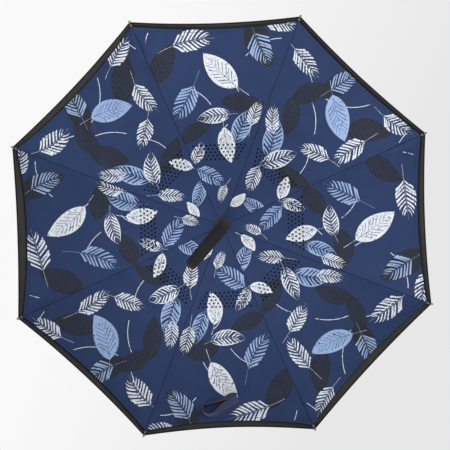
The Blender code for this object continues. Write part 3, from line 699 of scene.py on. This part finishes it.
def cut_cloth(outlines, shapes, extra, split):
    """The cloth's points, and the corners and colour of each of its triangles.

    outlines are the two half gores; shapes are (side, outline, colour) in painting order. The
    triangles stop at two lines across the arm: the split, and a tuck's width nearer the shaft.
    """
    points, faces = [], []
    for outline in outlines + [shape[1] for shape in shapes]:
        faces.append(list(range(len(points), len(points) + len(outline))))
        points += anticlockwise(outline)
    lines = []
    for place in (split - TUCK, split):
        half = place * tan(HALF_GORE)
        steps = 2 * int(half / CLOTH_GRID)
        lines += [(len(points) + i, len(points) + i + 1) for i in range(steps)]
        points += [Vector((place, half * (2 * i / steps - 1))) for i in range(steps + 1)]
    flat = delaunay_2d_cdt([p / MM for p in points + extra], lines, faces, 0, POINT_MERGING / MM, True)
    coloured = [(corners, top_colour(owners, shapes)) for corners, owners in zip(flat[2], flat[5])]
    return [p * MM for p in flat[0]], [(corners, c) for corners, c in coloured if c != HOLE]


def heading_at(points, i):
    """The way along a row of points at one of them."""
    return points[min(i + 1, len(points) - 1)] - points[max(i - 1, 0)]


def strip(points, width):
    """The outline of a narrow strip along a row of points."""
    left, right = [], []
    for i, point in enumerate(points):
        ahead = heading_at(points, i)
        square = Vector((-ahead.y, ahead.x)).normalized() * (width / 2)
        left.append(point + square)
        right.append(point - square)
    return left + right[::-1]


def hem_strips(end_radius, bows, inset, width, colour):
    """Two strips along an arm's hem, one on each side of the arm."""
    made = []
    for side, sense in HALVES:
        half = half_hem(end_radius - inset, bows[side], sense, 1)
        made.append((side, strip([to_arm(p, sense) for p in half], width), colour))
    return made


def sewing(end_radius, bows, colour):
    """The shapes of an arm's seam and of its hem's stitching, in a darker colour that paints the shade
    of their creases.
    """
    line = [Vector((end_radius * i / SEAM_STEPS, 0)) for i in range(1, SEAM_STEPS + 1)]
    seam = (None, strip(line, 2 * SEAM_HALF_WIDTH), colour)
    return hem_strips(end_radius, bows, HEM_STITCH_INSET, STITCH_WIDTH, colour) + [seam]


def pull_folds(apothem, aside, gore, end_radius):
    """How far the cloth rises in the soft folds that fan out from an arm's end, where it is pulled."""
    out = end_radius * cos(HALF_GORE) - apothem
    across = end_radius * sin(HALF_GORE) - abs(aside)
    distance = hypot(out, across)
    if distance > PULL_REACH:
        return 0
    turn = max(0, atan2(across, out) - HALF_GORE)
    phase = PULL_GORE_PHASE * gore + copysign(PULL_SIDE_PHASE, aside)
    wave = sin(tau * turn / PULL_PITCH + phase) * min(1, turn / PULL_PITCH)
    rise = PULL_SLOPE * distance * min(1, distance / PULL_START)
    return wave * rise * (1 - distance / PULL_REACH) ** 2


def in_gore(apothem, aside, gore, row):
    """The cloth's point at a place in a gore."""
    share = min(1, abs(aside) / max(apothem * tan(HALF_GORE), 1e-6))
    height = cover_height(row, apothem / cos(HALF_GORE), share, gore)
    height += pull_folds(apothem, aside, gore, row[-1][0])
    out = arm_direction(gore + 0.5)
    return Vector((out.x * apothem - out.y * aside, out.y * apothem + out.x * aside, height))


def raised(flat, row, arm):
    """A flat point of the arm's cloth at its place in the umbrella."""
    apothem = flat.x * cos(HALF_GORE) + abs(flat.y) * sin(HALF_GORE)
    aside = flat.x * sin(HALF_GORE) - abs(flat.y) * cos(HALF_GORE)
    if flat.y >= 0:
        return in_gore(apothem, -aside, arm, row)
    return in_gore(apothem, aside, (arm - 1) % ARM_COUNT, row)


def cloth_pieces(name, row, arm, end, bows, shapes, split, materials, facing):
    """The cloth of one arm as an inner and an outer piece, parted at the arm's own joint.

    The outer piece carries on behind the inner one for a tuck's width, so no gap opens there.
    """
    outlines = [half_gore(end, bows[side], sense) for side, sense in HALVES]
    points, triangles = cut_cloth(outlines, shapes, grid_points(end), split)
    made = []
    for part, where in enumerate(("in", "out")):
        bm = bmesh.new()
        used = {}
        for corners, colour in triangles:
            middle = sum((points[i].x for i in corners)) / 3
            outside = middle < split - TUCK if part else middle > split
            if outside:
                continue
            for i in corners:
                if i not in used:
                    place = raised(points[i], row, arm)
                    if part:
                        tucked = min(1, max(0, split - points[i].x) * 3 / TUCK)
                        place.z -= facing * TUCK_DEPTH * tucked
                    used[i] = bm.verts.new(place)
            loop = [used[i] for i in corners]
            if facing < 0:
                loop.reverse()
            if len(set(loop)) == 3 and not bm.faces.get(loop):
                bm.faces.new(loop).material_index = colour
        made.append(piece(f"{name}_{where}_{arm + 1}", as_mesh(bm, name), *materials))
    return made


def gathers(cloth):
    """Gives a piece of cloth its own copy of its mesh."""
    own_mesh(cloth)


def flecked(nodes, place, base, flecks, share):
    """The colour of a print that is worn through in small flecks."""
    worn = added(nodes, "TexNoise", {"Vector": place, "Scale": 190, "Detail": 3, "Roughness": 0.65})
    cut = added(nodes, "MapRange", {"Value": worn, "From Min": 0.5 + share, "From Max": 0.56 + share})
    return mixed(nodes, cut, base, (*linear(*flecks), 1))


def woven(name, levels, change, flecks=None, fleck_share=0.0):
    """Fine plain-woven cloth with a soft mottle, and worn flecks where it is printed."""
    material, nodes, shader = node_material(name)
    place = added(nodes, "TexCoord", output="Object")
    mottle = added(nodes, "TexNoise", {"Vector": place, "Scale": 22, "Detail": 3})
    base = toned(nodes, mottle, levels, change, 0.25, 0.75)
    if flecks:
        base = flecked(nodes, place, base, flecks, fleck_share)
    threads = []
    for direction in ("X", "Y"):
        wave = added(nodes, "TexWave", {"Vector": place, "Scale": 400, "Distortion": 0.6}, "Fac")
        wave.node.bands_direction = direction
        threads.append(wave)
    weave = combined(nodes, "ADD", *threads)
    set_inputs(shader, {
        "Base Color": base,
        "Roughness": 0.75,
        "Specular IOR Level": 0.18,
        "Sheen Weight": 0.03,
        "Sheen Roughness": 0.4,
        "Normal": added(nodes, "Bump", {"Height": weave, "Distance": THREAD_RELIEF, "Strength": 0.5}),
    })
    return material


def add_piping(cloth, row, arm, end, bows, colour):
    """A rolled edge along the hem of an outer piece."""
    hem = []
    for side, sense in reversed(HALVES):
        hem += [to_arm(p, sense) for p in half_hem(end, bows[side], sense)]
    hem.sort(key=lambda p: p.y)
    apart = [p for i, p in enumerate(hem) if i == 0 or (p - hem[i - 1]).length > SAME_POINT]
    line = [raised(p, row, arm) for p in apart]
    rings = []
    for i, point in enumerate(line):
        ahead = heading_at(line, i).normalized()
        side = ahead.cross(UP).normalized()
        rings.append(round_ring(point, side, side.cross(ahead), PIPING_RADIUS, PIPING_SIDES))
    bm = bmesh.new()
    bm.from_mesh(cloth.data)
    walled(bm, rings, colour)
    bm.to_mesh(cloth.data)
    bm.free()
    cloth.data.shade_smooth()


def clamped_ring(name, inner, outer, height, material):
    """The flat middle of a cover, held between two mouldings."""
    points = circle(inner, height, RING_STEPS) + circle(outer, height, RING_STEPS)
    faces = []
    for i in range(RING_STEPS):
        j = (i + 1) % RING_STEPS
        faces.append((i, j, RING_STEPS + j, RING_STEPS + i))
    return piece(name, plain_mesh(name, points, faces), material)


outer_row = over_rods(1, [
    (SHAFT_RADIUS + HOLE_GAP, OUTER_BASE),
    (CLAMP_RADIUS, OUTER_BASE),
    (ELBOW[0], ELBOW[1] + OUTER_ELBOW_LIFT),
])
OUTER_END = outer_row[-1][0]
black = woven("black_pongee", (62, 62, 62), 0.12)
# the seams' darker black is painted shade of the crease over each rib, also laid on the hem's stitch
# line
black_seam_shade = woven("black_seam_shade", (30, 30, 31), 0.1)
black_edge = woven("black_binding", (22, 22, 23), 0.1)
for arm in range(ARM_COUNT):
    bows = (OUTER_BOWS[arm], OUTER_BOWS[arm - 1])
    binding = hem_strips(OUTER_END, bows, BINDING_WIDTH / 2 - BINDING_OVER, BINDING_WIDTH, 2)
    shapes = sewing(OUTER_END, bows, 1) + binding
    pair = cloth_pieces("outer_cloth", outer_row, arm, OUTER_END, bows, shapes, ELBOW[0],
                        (black, black_seam_shade, black_edge), 1)
    add_piping(pair[1], outer_row, arm, OUTER_END, bows, 2)
    for cloth, body, size, keep in zip(pair, ("upper_link", "rod_link"), OUTER_FLATS, GATHERS):
        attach(cloth, f"{body}_{arm + 1}")
        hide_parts("outer_canopy")
        gathers(cloth)
crown = clamped_ring("outer_cloth_crown", SHAFT_RADIUS + HOLE_GAP, CLAMP_RADIUS, OUTER_BASE, black)
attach(crown, "frame")
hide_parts("outer_canopy")

# Inner cover: eight gores of navy pongee printed with leaves, each with a strip of punched holes
# that lets the wind through. It is clamped to the runner and tied to the rods short of the tips.
INNER_BASE = 585.436 * MM
SLEEVE_RADIUS = 11.5 * MM
BRACKET_FOOT = 10.3 * MM
INNER_END = 531 * MM
INNER_BOWS = tuple(b * MM for b in (17.6, 16, 12.8, 10.2, 14.8, 15.3, 16.9, 14.3))
INNER_FLATS = ((0.23, 0.27), (0.42, 0.3))
HOLE_ROWS = 5
HOLE_START = 166 * MM
HOLE_ROW_STEP = 8.7 * MM
HOLE_STEP = 10.8 * MM
HOLE_RADIUS = 2.5 * MM
HOLE_SPREAD = 0.325
HOLE_SIDES = 8
SIDE_MARGIN = 0.1 * MM
# the second colour is the seams' darker navy: painted shade of the crease over each rib and of the
# hem's stitch line
NAVY, SEAM_SHADE, CHARCOAL, BLUE, WHITE = 0, 1, 2, 3, 4
OWN = None  # stands for a leaf's own colour
NAVY_LEVELS = (45, 62, 101)
LEAF_STEPS = 14
LEAF_WIDTHS = (0.41, 0.5)
LEAF_BEND = 0.35
LEAF_ROOT_POWER = 0.76
LEAF_TIP_POWER = 0.94
LEAF_FULLNESS = 3.24
BAR_SLANT = 0.16
BAR_START = 0.07  # the bars' distance from the midrib, as a share of the half width
BAR_END = 0.985
BAR_SHARES = (0, 0.35, 0.7, 1)
MIDRIB_STEPS = 8
STEM_STEPS = 10
STEM_WIDTH = 1.5 * MM
PRINT_SEED = 40
PRINT_SLIP = 7
PRINT_TURN = 9
# Per style: each outline's size and colour; the bars' count, fill, reach to the edge, first and last
# place, and colour; and each midrib's start, end, width in mm, length of stem and colour
LEAF_STYLES = {
    "solid": (((1, OWN),), (7, 0.17, 0.75, 0.14, 0.8, NAVY),
              ((0.06, 0.86, 1.2, 0, NAVY), (0, 0.02, 1.1, 0.3, OWN))),
    "striped": ((), (9, 0.56, 0.97, 0.08, 0.9, OWN), ((0, 0.97, 0.55, 0.28, OWN),)),
    "framed": (((1, OWN), (0.86, NAVY)), (8, 0.55, 0.97, 0.08, 0.9, OWN), ((0, 0.9, 0.5, 0.2, OWN),)),
    "backed": (((1, CHARCOAL),), (9, 0.6, 0.97, 0.3, 0.92, OWN), ((0.02, 0.97, 0.5, 0, OWN),)),
    "dark": (((1, CHARCOAL),), (7, 0.16, 0.9, 0.12, 0.85, NAVY), ((0.04, 0.9, 0.9, 0, NAVY),)),
}
# Apothem, aside and length in mm, heading in degrees from straight outwards
EVEN_LEAVES = (
    (402, -126, 35, 118, "dark", CHARCOAL),
    (302, 70, 100, 108, "dark", CHARCOAL),
    (236, -52, 60, 96, "dark", CHARCOAL),
    (440, 112, 150, 122, "backed", BLUE),
    (306, -74, 205, 112, "striped", BLUE),
    (246, 66, 20, 92, "framed", BLUE),
    (122, -16, 128, 96, "striped", BLUE),
    (454, -50, 78, 116, "striped", WHITE),
    (486, 168, 95, 96, "striped", WHITE),
    (380, 14, 322, 114, "solid", WHITE),
    (276, 98, 18, 80, "striped", WHITE),
    (272, -4, 262, 84, "framed", WHITE),
    (198, 26, 170, 86, "solid", WHITE),
    (180, -46, 28, 64, "framed", WHITE),
    (78, 10, 200, 56, "striped", WHITE),
)
ODD_LEAVES = (
    (424, 100, 60, 116, "dark", CHARCOAL),
    (396, -68, 20, 94, "dark", CHARCOAL),
    (322, -62, 145, 106, "dark", CHARCOAL),
    (212, 46, 75, 96, "dark", CHARCOAL),
    (458, -28, 20, 118, "backed", BLUE),
    (356, 102, 190, 104, "striped", WHITE),
    (254, -58, 330, 96, "framed", BLUE),
    (96, 22, 250, 76, "framed", BLUE),
    (440, -126, 100, 108, "striped", WHITE),
    (476, 142, 82, 92, "striped", WHITE),
    (396, 26, 118, 112, "solid", BLUE),
    (286, -92, 318, 84, "striped", WHITE),
    (298, 40, 250, 92, "striped", WHITE),
    (226, -12, 30, 88, "framed", WHITE),
    (180, 46, 330, 64, "solid", WHITE),
    (144, -26, 150, 80, "striped", WHITE),
    (80, -16, 10, 50, "solid", WHITE),
)
# Apothem and aside in mm of both ends, and the bend between them
EVEN_STEMS = (
    ((452, 168), (414, 80), 0.12),
    ((404, -20), (330, 60), -0.1),
    ((250, 30), (190, 10), 0.15),
    ((474, -158), (452, -166), 0.02),
    ((300, -10), (340, -60), 0.08),
)
ODD_STEMS = (
    ((470, 60), (410, -30), -0.12),
    ((330, 10), (390, -70), 0.1),
    ((226, 50), (300, 20), 0.12),
    ((478, 172), (452, 176), 0.02),
    ((438, -152), (400, -60), -0.1),
)
GORE_PRINTS = ((EVEN_LEAVES, EVEN_STEMS), (ODD_LEAVES, ODD_STEMS))


def leaf_frame(leaf, along, aside):
    """A gore point from a place on a leaf: shares of its length and of its width."""
    (u, v), heading, length, width, bend = leaf
    turn = radians(heading) + bend * (along - 0.5)
    x, y = along * length - length / 2, aside * width / 2
    c, s = cos(turn), sin(turn)
    return (u + x * c - y * s, v + x * s + y * c)


def leaf_half(along):
    """A leaf's half width, as a share of the widest, at a share of its length."""
    return (max(0, along) ** LEAF_ROOT_POWER * max(0, 1 - along) ** LEAF_TIP_POWER) * LEAF_FULLNESS


def leaf_outline(leaf, grow):
    """The edge of a whole leaf, up one side and down the other."""
    steps = [i / LEAF_STEPS for i in range(1, LEAF_STEPS)]
    up, down = [[(a, sense * leaf_half(a) * grow) for a in steps] for sense in (1, -1)]
    return [leaf_frame(leaf, a, s) for a, s in [(0, 0)] + up + [(1, 0)] + down[::-1]]


def leaf_bar(leaf, rng, sense, root, thick, slant, reach):
    """One slanted bar from beside the midrib to near the edge, or nothing where it is too short."""
    low, high = [], []
    for share in BAR_SHARES:
        lead = root + slant * share
        edge = leaf_half(min(BAR_END, lead + thick / 2)) * reach * rng.uniform(0.93, 1.0)
        side = BAR_START + (edge - BAR_START) * share
        if edge <= BAR_START * 1.5:
            return []
        swell = thick * (0.75 + 0.4 * share)
        low.append(leaf_frame(leaf, lead, sense * side))
        high.append(leaf_frame(leaf, lead + swell, sense * side * BAR_END))
    return low + high[::-1]


def leaf_stripes(leaf, rng, count, fill, reach, first, last):
    """Slanted bars between the midrib and the edge, on both sides."""
    bars = []
    pitch = (last - first) / count
    for sense in (1, -1):
        for i in range(count):
            root = first + pitch * (i + rng.uniform(-0.12, 0.12))
            thick = pitch * fill * rng.uniform(0.75, 1.2)
            slant = BAR_SLANT + rng.uniform(-0.015, 0.015)
            bars.append(leaf_bar(leaf, rng, sense, root, thick, slant, reach))
    return [bar for bar in bars if bar]


def leaf_midrib(leaf, start, end, width, stem):
    """A tapering line down a leaf's middle, carried on as its stem."""
    left, right = [], []
    for i in range(MIDRIB_STEPS + 1):
        along = start - stem + (end - start + stem) * i / MIDRIB_STEPS
        half = width * (1.15 - 0.8 * i / MIDRIB_STEPS) / leaf[3]
        left.append(leaf_frame(leaf, along, half))
        right.append(leaf_frame(leaf, along, -half))
    return left + right[::-1]


def printed_leaf(place, heading, length, style, tone, rng):
    """The painted shapes of one leaf: (outline, colour) in painting order."""
    width = length * rng.uniform(*LEAF_WIDTHS)
    leaf = (place, heading, length, width, rng.uniform(-LEAF_BEND, LEAF_BEND))
    outlines, (*bars, bar_colour), midribs = LEAF_STYLES[style]
    shapes = [(leaf_outline(leaf, grow), colour) for grow, colour in outlines]
    shapes += [(bar, bar_colour) for bar in leaf_stripes(leaf, rng, *bars)]
    for start, end, thick, stem, colour in midribs:
        shapes.append((leaf_midrib(leaf, start, end, thick * MM, stem), colour))
    return [(outline, tone if colour is OWN else colour) for outline, colour in shapes]


def printed_stem(start, end, bend, width):
    """A thin curved twig between two places."""
    (u0, v0), (u1, v1) = start, end
    line = []
    for i in range(STEM_STEPS + 1):
        share = i / STEM_STEPS
        bow = bend * 4 * share * (1 - share)
        out = u0 + (u1 - u0) * share - (v1 - v0) * bow
        line.append(Vector((out, v0 + (v1 - v0) * share + (u1 - u0) * bow)))
    return [tuple(p) for p in strip(line, width)]


def gore_print(gore):
    """The painted shapes of one gore, in its own (apothem, aside) frame."""
    rng = random.Random(PRINT_SEED + gore)
    leaves, stems = GORE_PRINTS[gore % 2]
    slip_out, slip_aside = (rng.uniform(-PRINT_SLIP, PRINT_SLIP) for _ in range(2))
    shapes = []
    for *ends, bend in stems:
        start, end = (((u + slip_out) * MM, (v + slip_aside) * MM) for u, v in ends)
        shapes.append((printed_stem(start, end, bend, STEM_WIDTH), WHITE))
    for u, v, heading, length, style, tone in leaves:
        place = ((u + slip_out) * MM, (v + slip_aside) * MM)
        turn = heading + rng.uniform(-PRINT_TURN, PRINT_TURN)
        shapes += printed_leaf(place, turn, length * rng.uniform(0.94, 1.06) * MM, style, tone, rng)
    return shapes


def punched_holes():
    """The wind holes of one gore, row after row, staggered."""
    holes = []
    turns = round_turns(HOLE_SIDES, 0.5)
    for row in range(HOLE_ROWS):
        out = HOLE_START + row * HOLE_ROW_STEP
        reach = out * HOLE_SPREAD
        count = int(reach / HOLE_STEP)
        offset = HOLE_STEP / 2 if row % 2 else 0
        for i in range(-count - 1, count + 1):
            aside = i * HOLE_STEP + offset
            if abs(aside) > reach:
                continue
            rim = [(out + HOLE_RADIUS * cos(a), aside + HOLE_RADIUS * sin(a)) for a in turns]
            holes.append((rim, HOLE))
    return holes


def beside_arm(shapes, side, sense):
    """A gore's shapes that reach the half on this side of the arm, in the arm's frame."""
    made = []
    for outline, colour in shapes:
        if any(v * -sense > -SIDE_MARGIN for u, v in outline):
            made.append((side, [to_arm(p, sense) for p in outline], colour))
    return made


inner_row = over_rods(-1, [
    (SLEEVE_RADIUS + HOLE_GAP, INNER_BASE),
    (CLAMP_RADIUS, INNER_BASE),
    in_rib_frame(0, -BRACKET_FOOT),
])
navy = woven("navy_pongee", NAVY_LEVELS, 0.07)
# the seams' darker navy is painted shade of the crease over each rib, also laid on the hem's stitch
# line
navy_seam_shade = woven("navy_seam_shade", (26, 36, 63), 0.1)
charcoal = woven("charcoal_print", (46, 48, 57), 0.12, NAVY_LEVELS, 0.12)
light_blue = woven("light_blue_print", (164, 189, 231), 0.12, NAVY_LEVELS, 0.1)
white = woven("white_print", (240, 244, 253), 0.05, NAVY_LEVELS, 0.08)
prints = [gore_print(gore) for gore in range(ARM_COUNT)]
wind_holes = punched_holes()
for arm in range(ARM_COUNT):
    gores = (arm, (arm - 1) % ARM_COUNT)
    bows = tuple(INNER_BOWS[g] for g in gores)
    shapes = []
    for side, sense in HALVES:
        shapes += beside_arm(prints[gores[side]], side, sense)
    shapes += sewing(INNER_END, bows, SEAM_SHADE)
    for side, sense in HALVES:
        shapes += beside_arm(wind_holes, side, sense)
    pair = cloth_pieces("inner_cloth", inner_row, arm, INNER_END, bows, shapes, FLEX_PIN[0],
                        (navy, navy_seam_shade, charcoal, light_blue, white), -1)
    for cloth, body, size, keep in zip(pair, ("rib_link", "rod_link"), INNER_FLATS, GATHERS):
        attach(cloth, f"{body}_{arm + 1}")
        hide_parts("inner_canopy")
        gathers(cloth)
waist = clamped_ring("inner_cloth_waist", SLEEVE_RADIUS + HOLE_GAP, CLAMP_RADIUS, INNER_BASE, navy)
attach(waist, "runner_slide")
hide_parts("inner_canopy")

# Lining strips: a narrow strip of plain navy pongee sewn behind the inner cover along each rib,
# next to the runner. Side by side they close the cover round the runner once the ribs stand up.
LINING_START = 22.5 * MM
LINING_END = 165 * MM
LINING_LIFT = 1 * MM
LINING_ROOM = 0.2 * MM
LINING_STEPS = 18
LINING_SHARES = (-1, -0.5, 0, 0.5, 1)
CLOSED_TURN = radians(82)
RUNNER_PIVOT_HEIGHT = ELBOW[1] - LINK_LENGTH * sin(OPEN_TILT)


def lining_half_width(radius, height):
    """Half the room between two neighbours' edges for a point of the strip when the ribs stand up."""
    out = (radius - PIVOT_RADIUS) * cos(CLOSED_TURN)
    inwards = (height - RUNNER_PIVOT_HEIGHT) * sin(CLOSED_TURN)
    return (PIVOT_RADIUS + out - inwards) * tan(HALF_GORE) - LINING_ROOM


def lining_mesh(arm):
    """One strip, flat across the arm and a little behind the cover."""
    out = arm_direction(arm)
    across = Vector((-out.y, out.x, 0))
    points = []
    for i in range(LINING_STEPS + 1):
        radius = LINING_START + (LINING_END - LINING_START) * i / LINING_STEPS
        height = height_along(inner_row, radius) + LINING_LIFT
        half = lining_half_width(radius, height)
        middle = out * radius + UP * height
        points += [middle + across * (half * share) for share in LINING_SHARES]
    faces = []
    count = len(LINING_SHARES)
    for i in range(LINING_STEPS):
        for k in range(count * i, count * (i + 1) - 1):
            faces.append((k, k + 1, k + 1 + count, k + count))
    return plain_mesh(f"lining_{arm + 1}", points, faces)


for arm in range(ARM_COUNT):
    lining = piece(f"lining_{arm + 1}", lining_mesh(arm), navy)
    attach(lining, f"rib_link_{arm + 1}")
    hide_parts("inner_canopy")

# Clamps: the crown washer and the glossy cap that holds it, and the collar under the runner's
# hub. Each presses the middle of a cover against its moulding.
glossy = finish("glossy_cap", (34, 34, 36), 0.3, grain=2 * MM, relief=0.01 * MM, change=0.08)
dress(moulded, "crown_washer", "canopy_collar")
dress(glossy, "top_cap")

# Tie strap: a band of the navy cloth with a brown woven binding along both edges, its two ends
# sewn down together near the hem. It wraps the closed umbrella; here it lies as an open loop.
STRAP_GORE = 6
STRAP_WIDTH = 19 * MM
STRAP_REST = 1.6 * MM
STRAP_UPPER_SHARE = 0.3  # the part of the loop that lies over its other end
STRAP_UPPER_LIFT = 2.2
STRAP_LINE = (
    # apothem and aside in mm, lean of the band from the cloth in degrees
    (424.0, -23.5, 0),
    (431.8, -6.5, 3),
    (439.1, 7.2, 10),
    (448.4, 21.1, 25),
    (456.8, 34.8, 46),
    (459.8, 47.2, 62),
    (455.7, 57.6, 75),
    (446.5, 62.2, 82),
    (436.9, 57.9, 86),
    (431.9, 46.2, 88),
    (429.0, 31.4, 88),
    (425.5, 17.8, 84),
    (421.5, 4.2, 62),
    (419.0, -10.7, 20),
    (421.0, -21.0, 2),
)
# Share of the half width and half thickness in mm, from the edge inwards over the binding
BINDING_SECTION = ((1.0, 0.35), (0.95, 0.95), (0.62, 0.95))
BAND_SECTION = ((0.58, 0.45),)
STRAP_SMOOTHING = 4
SHARP_EDGE = radians(40)


def smooth_line(line):
    """The line with points added between its own, on a curve through them."""
    dense = []
    for i in range(len(line) - 1):
        before, after = line[max(i - 1, 0)], line[min(i + 2, len(line) - 1)]
        a, b = line[i], line[i + 1]
        for k in range(STRAP_SMOOTHING):
            t = k / STRAP_SMOOTHING
            dense.append(
                0.5 * (2 * a + (b - before) * t + (2 * before - 5 * a + 4 * b - after) * t * t
                       + (3 * a - before - 3 * b + after) * t ** 3)
            )
    dense.append(line[-1])
    return dense


def strap_stations():
    """The strap's middle points with the directions of its width and of its thickness."""
    dense = smooth_line([Vector(p) for p in STRAP_LINE])
    spots = [in_gore(p.x * MM, p.y * MM, STRAP_GORE, inner_row) for p in dense]
    stations = []
    for i, spot in enumerate(spots):
        ahead = heading_at(spots, i).normalized()
        down = ahead.cross(ahead.cross(UP)).normalized()
        inward = ahead.cross(down)
        lean = radians(dense[i].z)
        across = inward * cos(lean) + down * sin(lean)
        share = i / (len(spots) - 1)
        rest = STRAP_REST * (STRAP_UPPER_LIFT if share < STRAP_UPPER_SHARE else 1.0)
        lift = rest + STRAP_WIDTH / 2 * sin(lean)
        stations.append((spot + down * lift, across, ahead.cross(across)))
    return stations


def strap_mesh():
    """The band with its two thicker bound edges, swept along its loop."""
    section = BINDING_SECTION + BAND_SECTION
    outline = list(section) + [(-share, thick) for share, thick in reversed(section)]
    outline += [(share, -thick) for share, thick in reversed(outline)]
    rings = []
    for centre, across, thickness in strap_stations():
        ring = [centre + across * (s * STRAP_WIDTH / 2) + thickness * (t * MM) for s, t in outline]
        rings.append(ring)
    mesh = skinned(rings, "tie_strap_loop")
    sides = len(outline)
    limit = (BINDING_SECTION[-1][0] + BAND_SECTION[0][0]) / 2
    for face in mesh.polygons[: sides * (len(rings) - 1)]:
        i = face.index % sides
        middle = abs(outline[i][0] + outline[(i + 1) % sides][0]) / 2
        face.material_index = 1 if middle > limit else 0
    return mesh


strap_cloth = woven("strap_navy", (46, 70, 110), 0.1)
strap_binding = woven("strap_brown", (90, 62, 54), 0.12)
strap = piece("tie_strap_loop", strap_mesh(), strap_cloth, strap_binding)
strap.data.set_sharp_from_angle(angle=SHARP_EDGE)
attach(strap, "rod_link_8")
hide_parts("tie_strap")
gathers(strap)
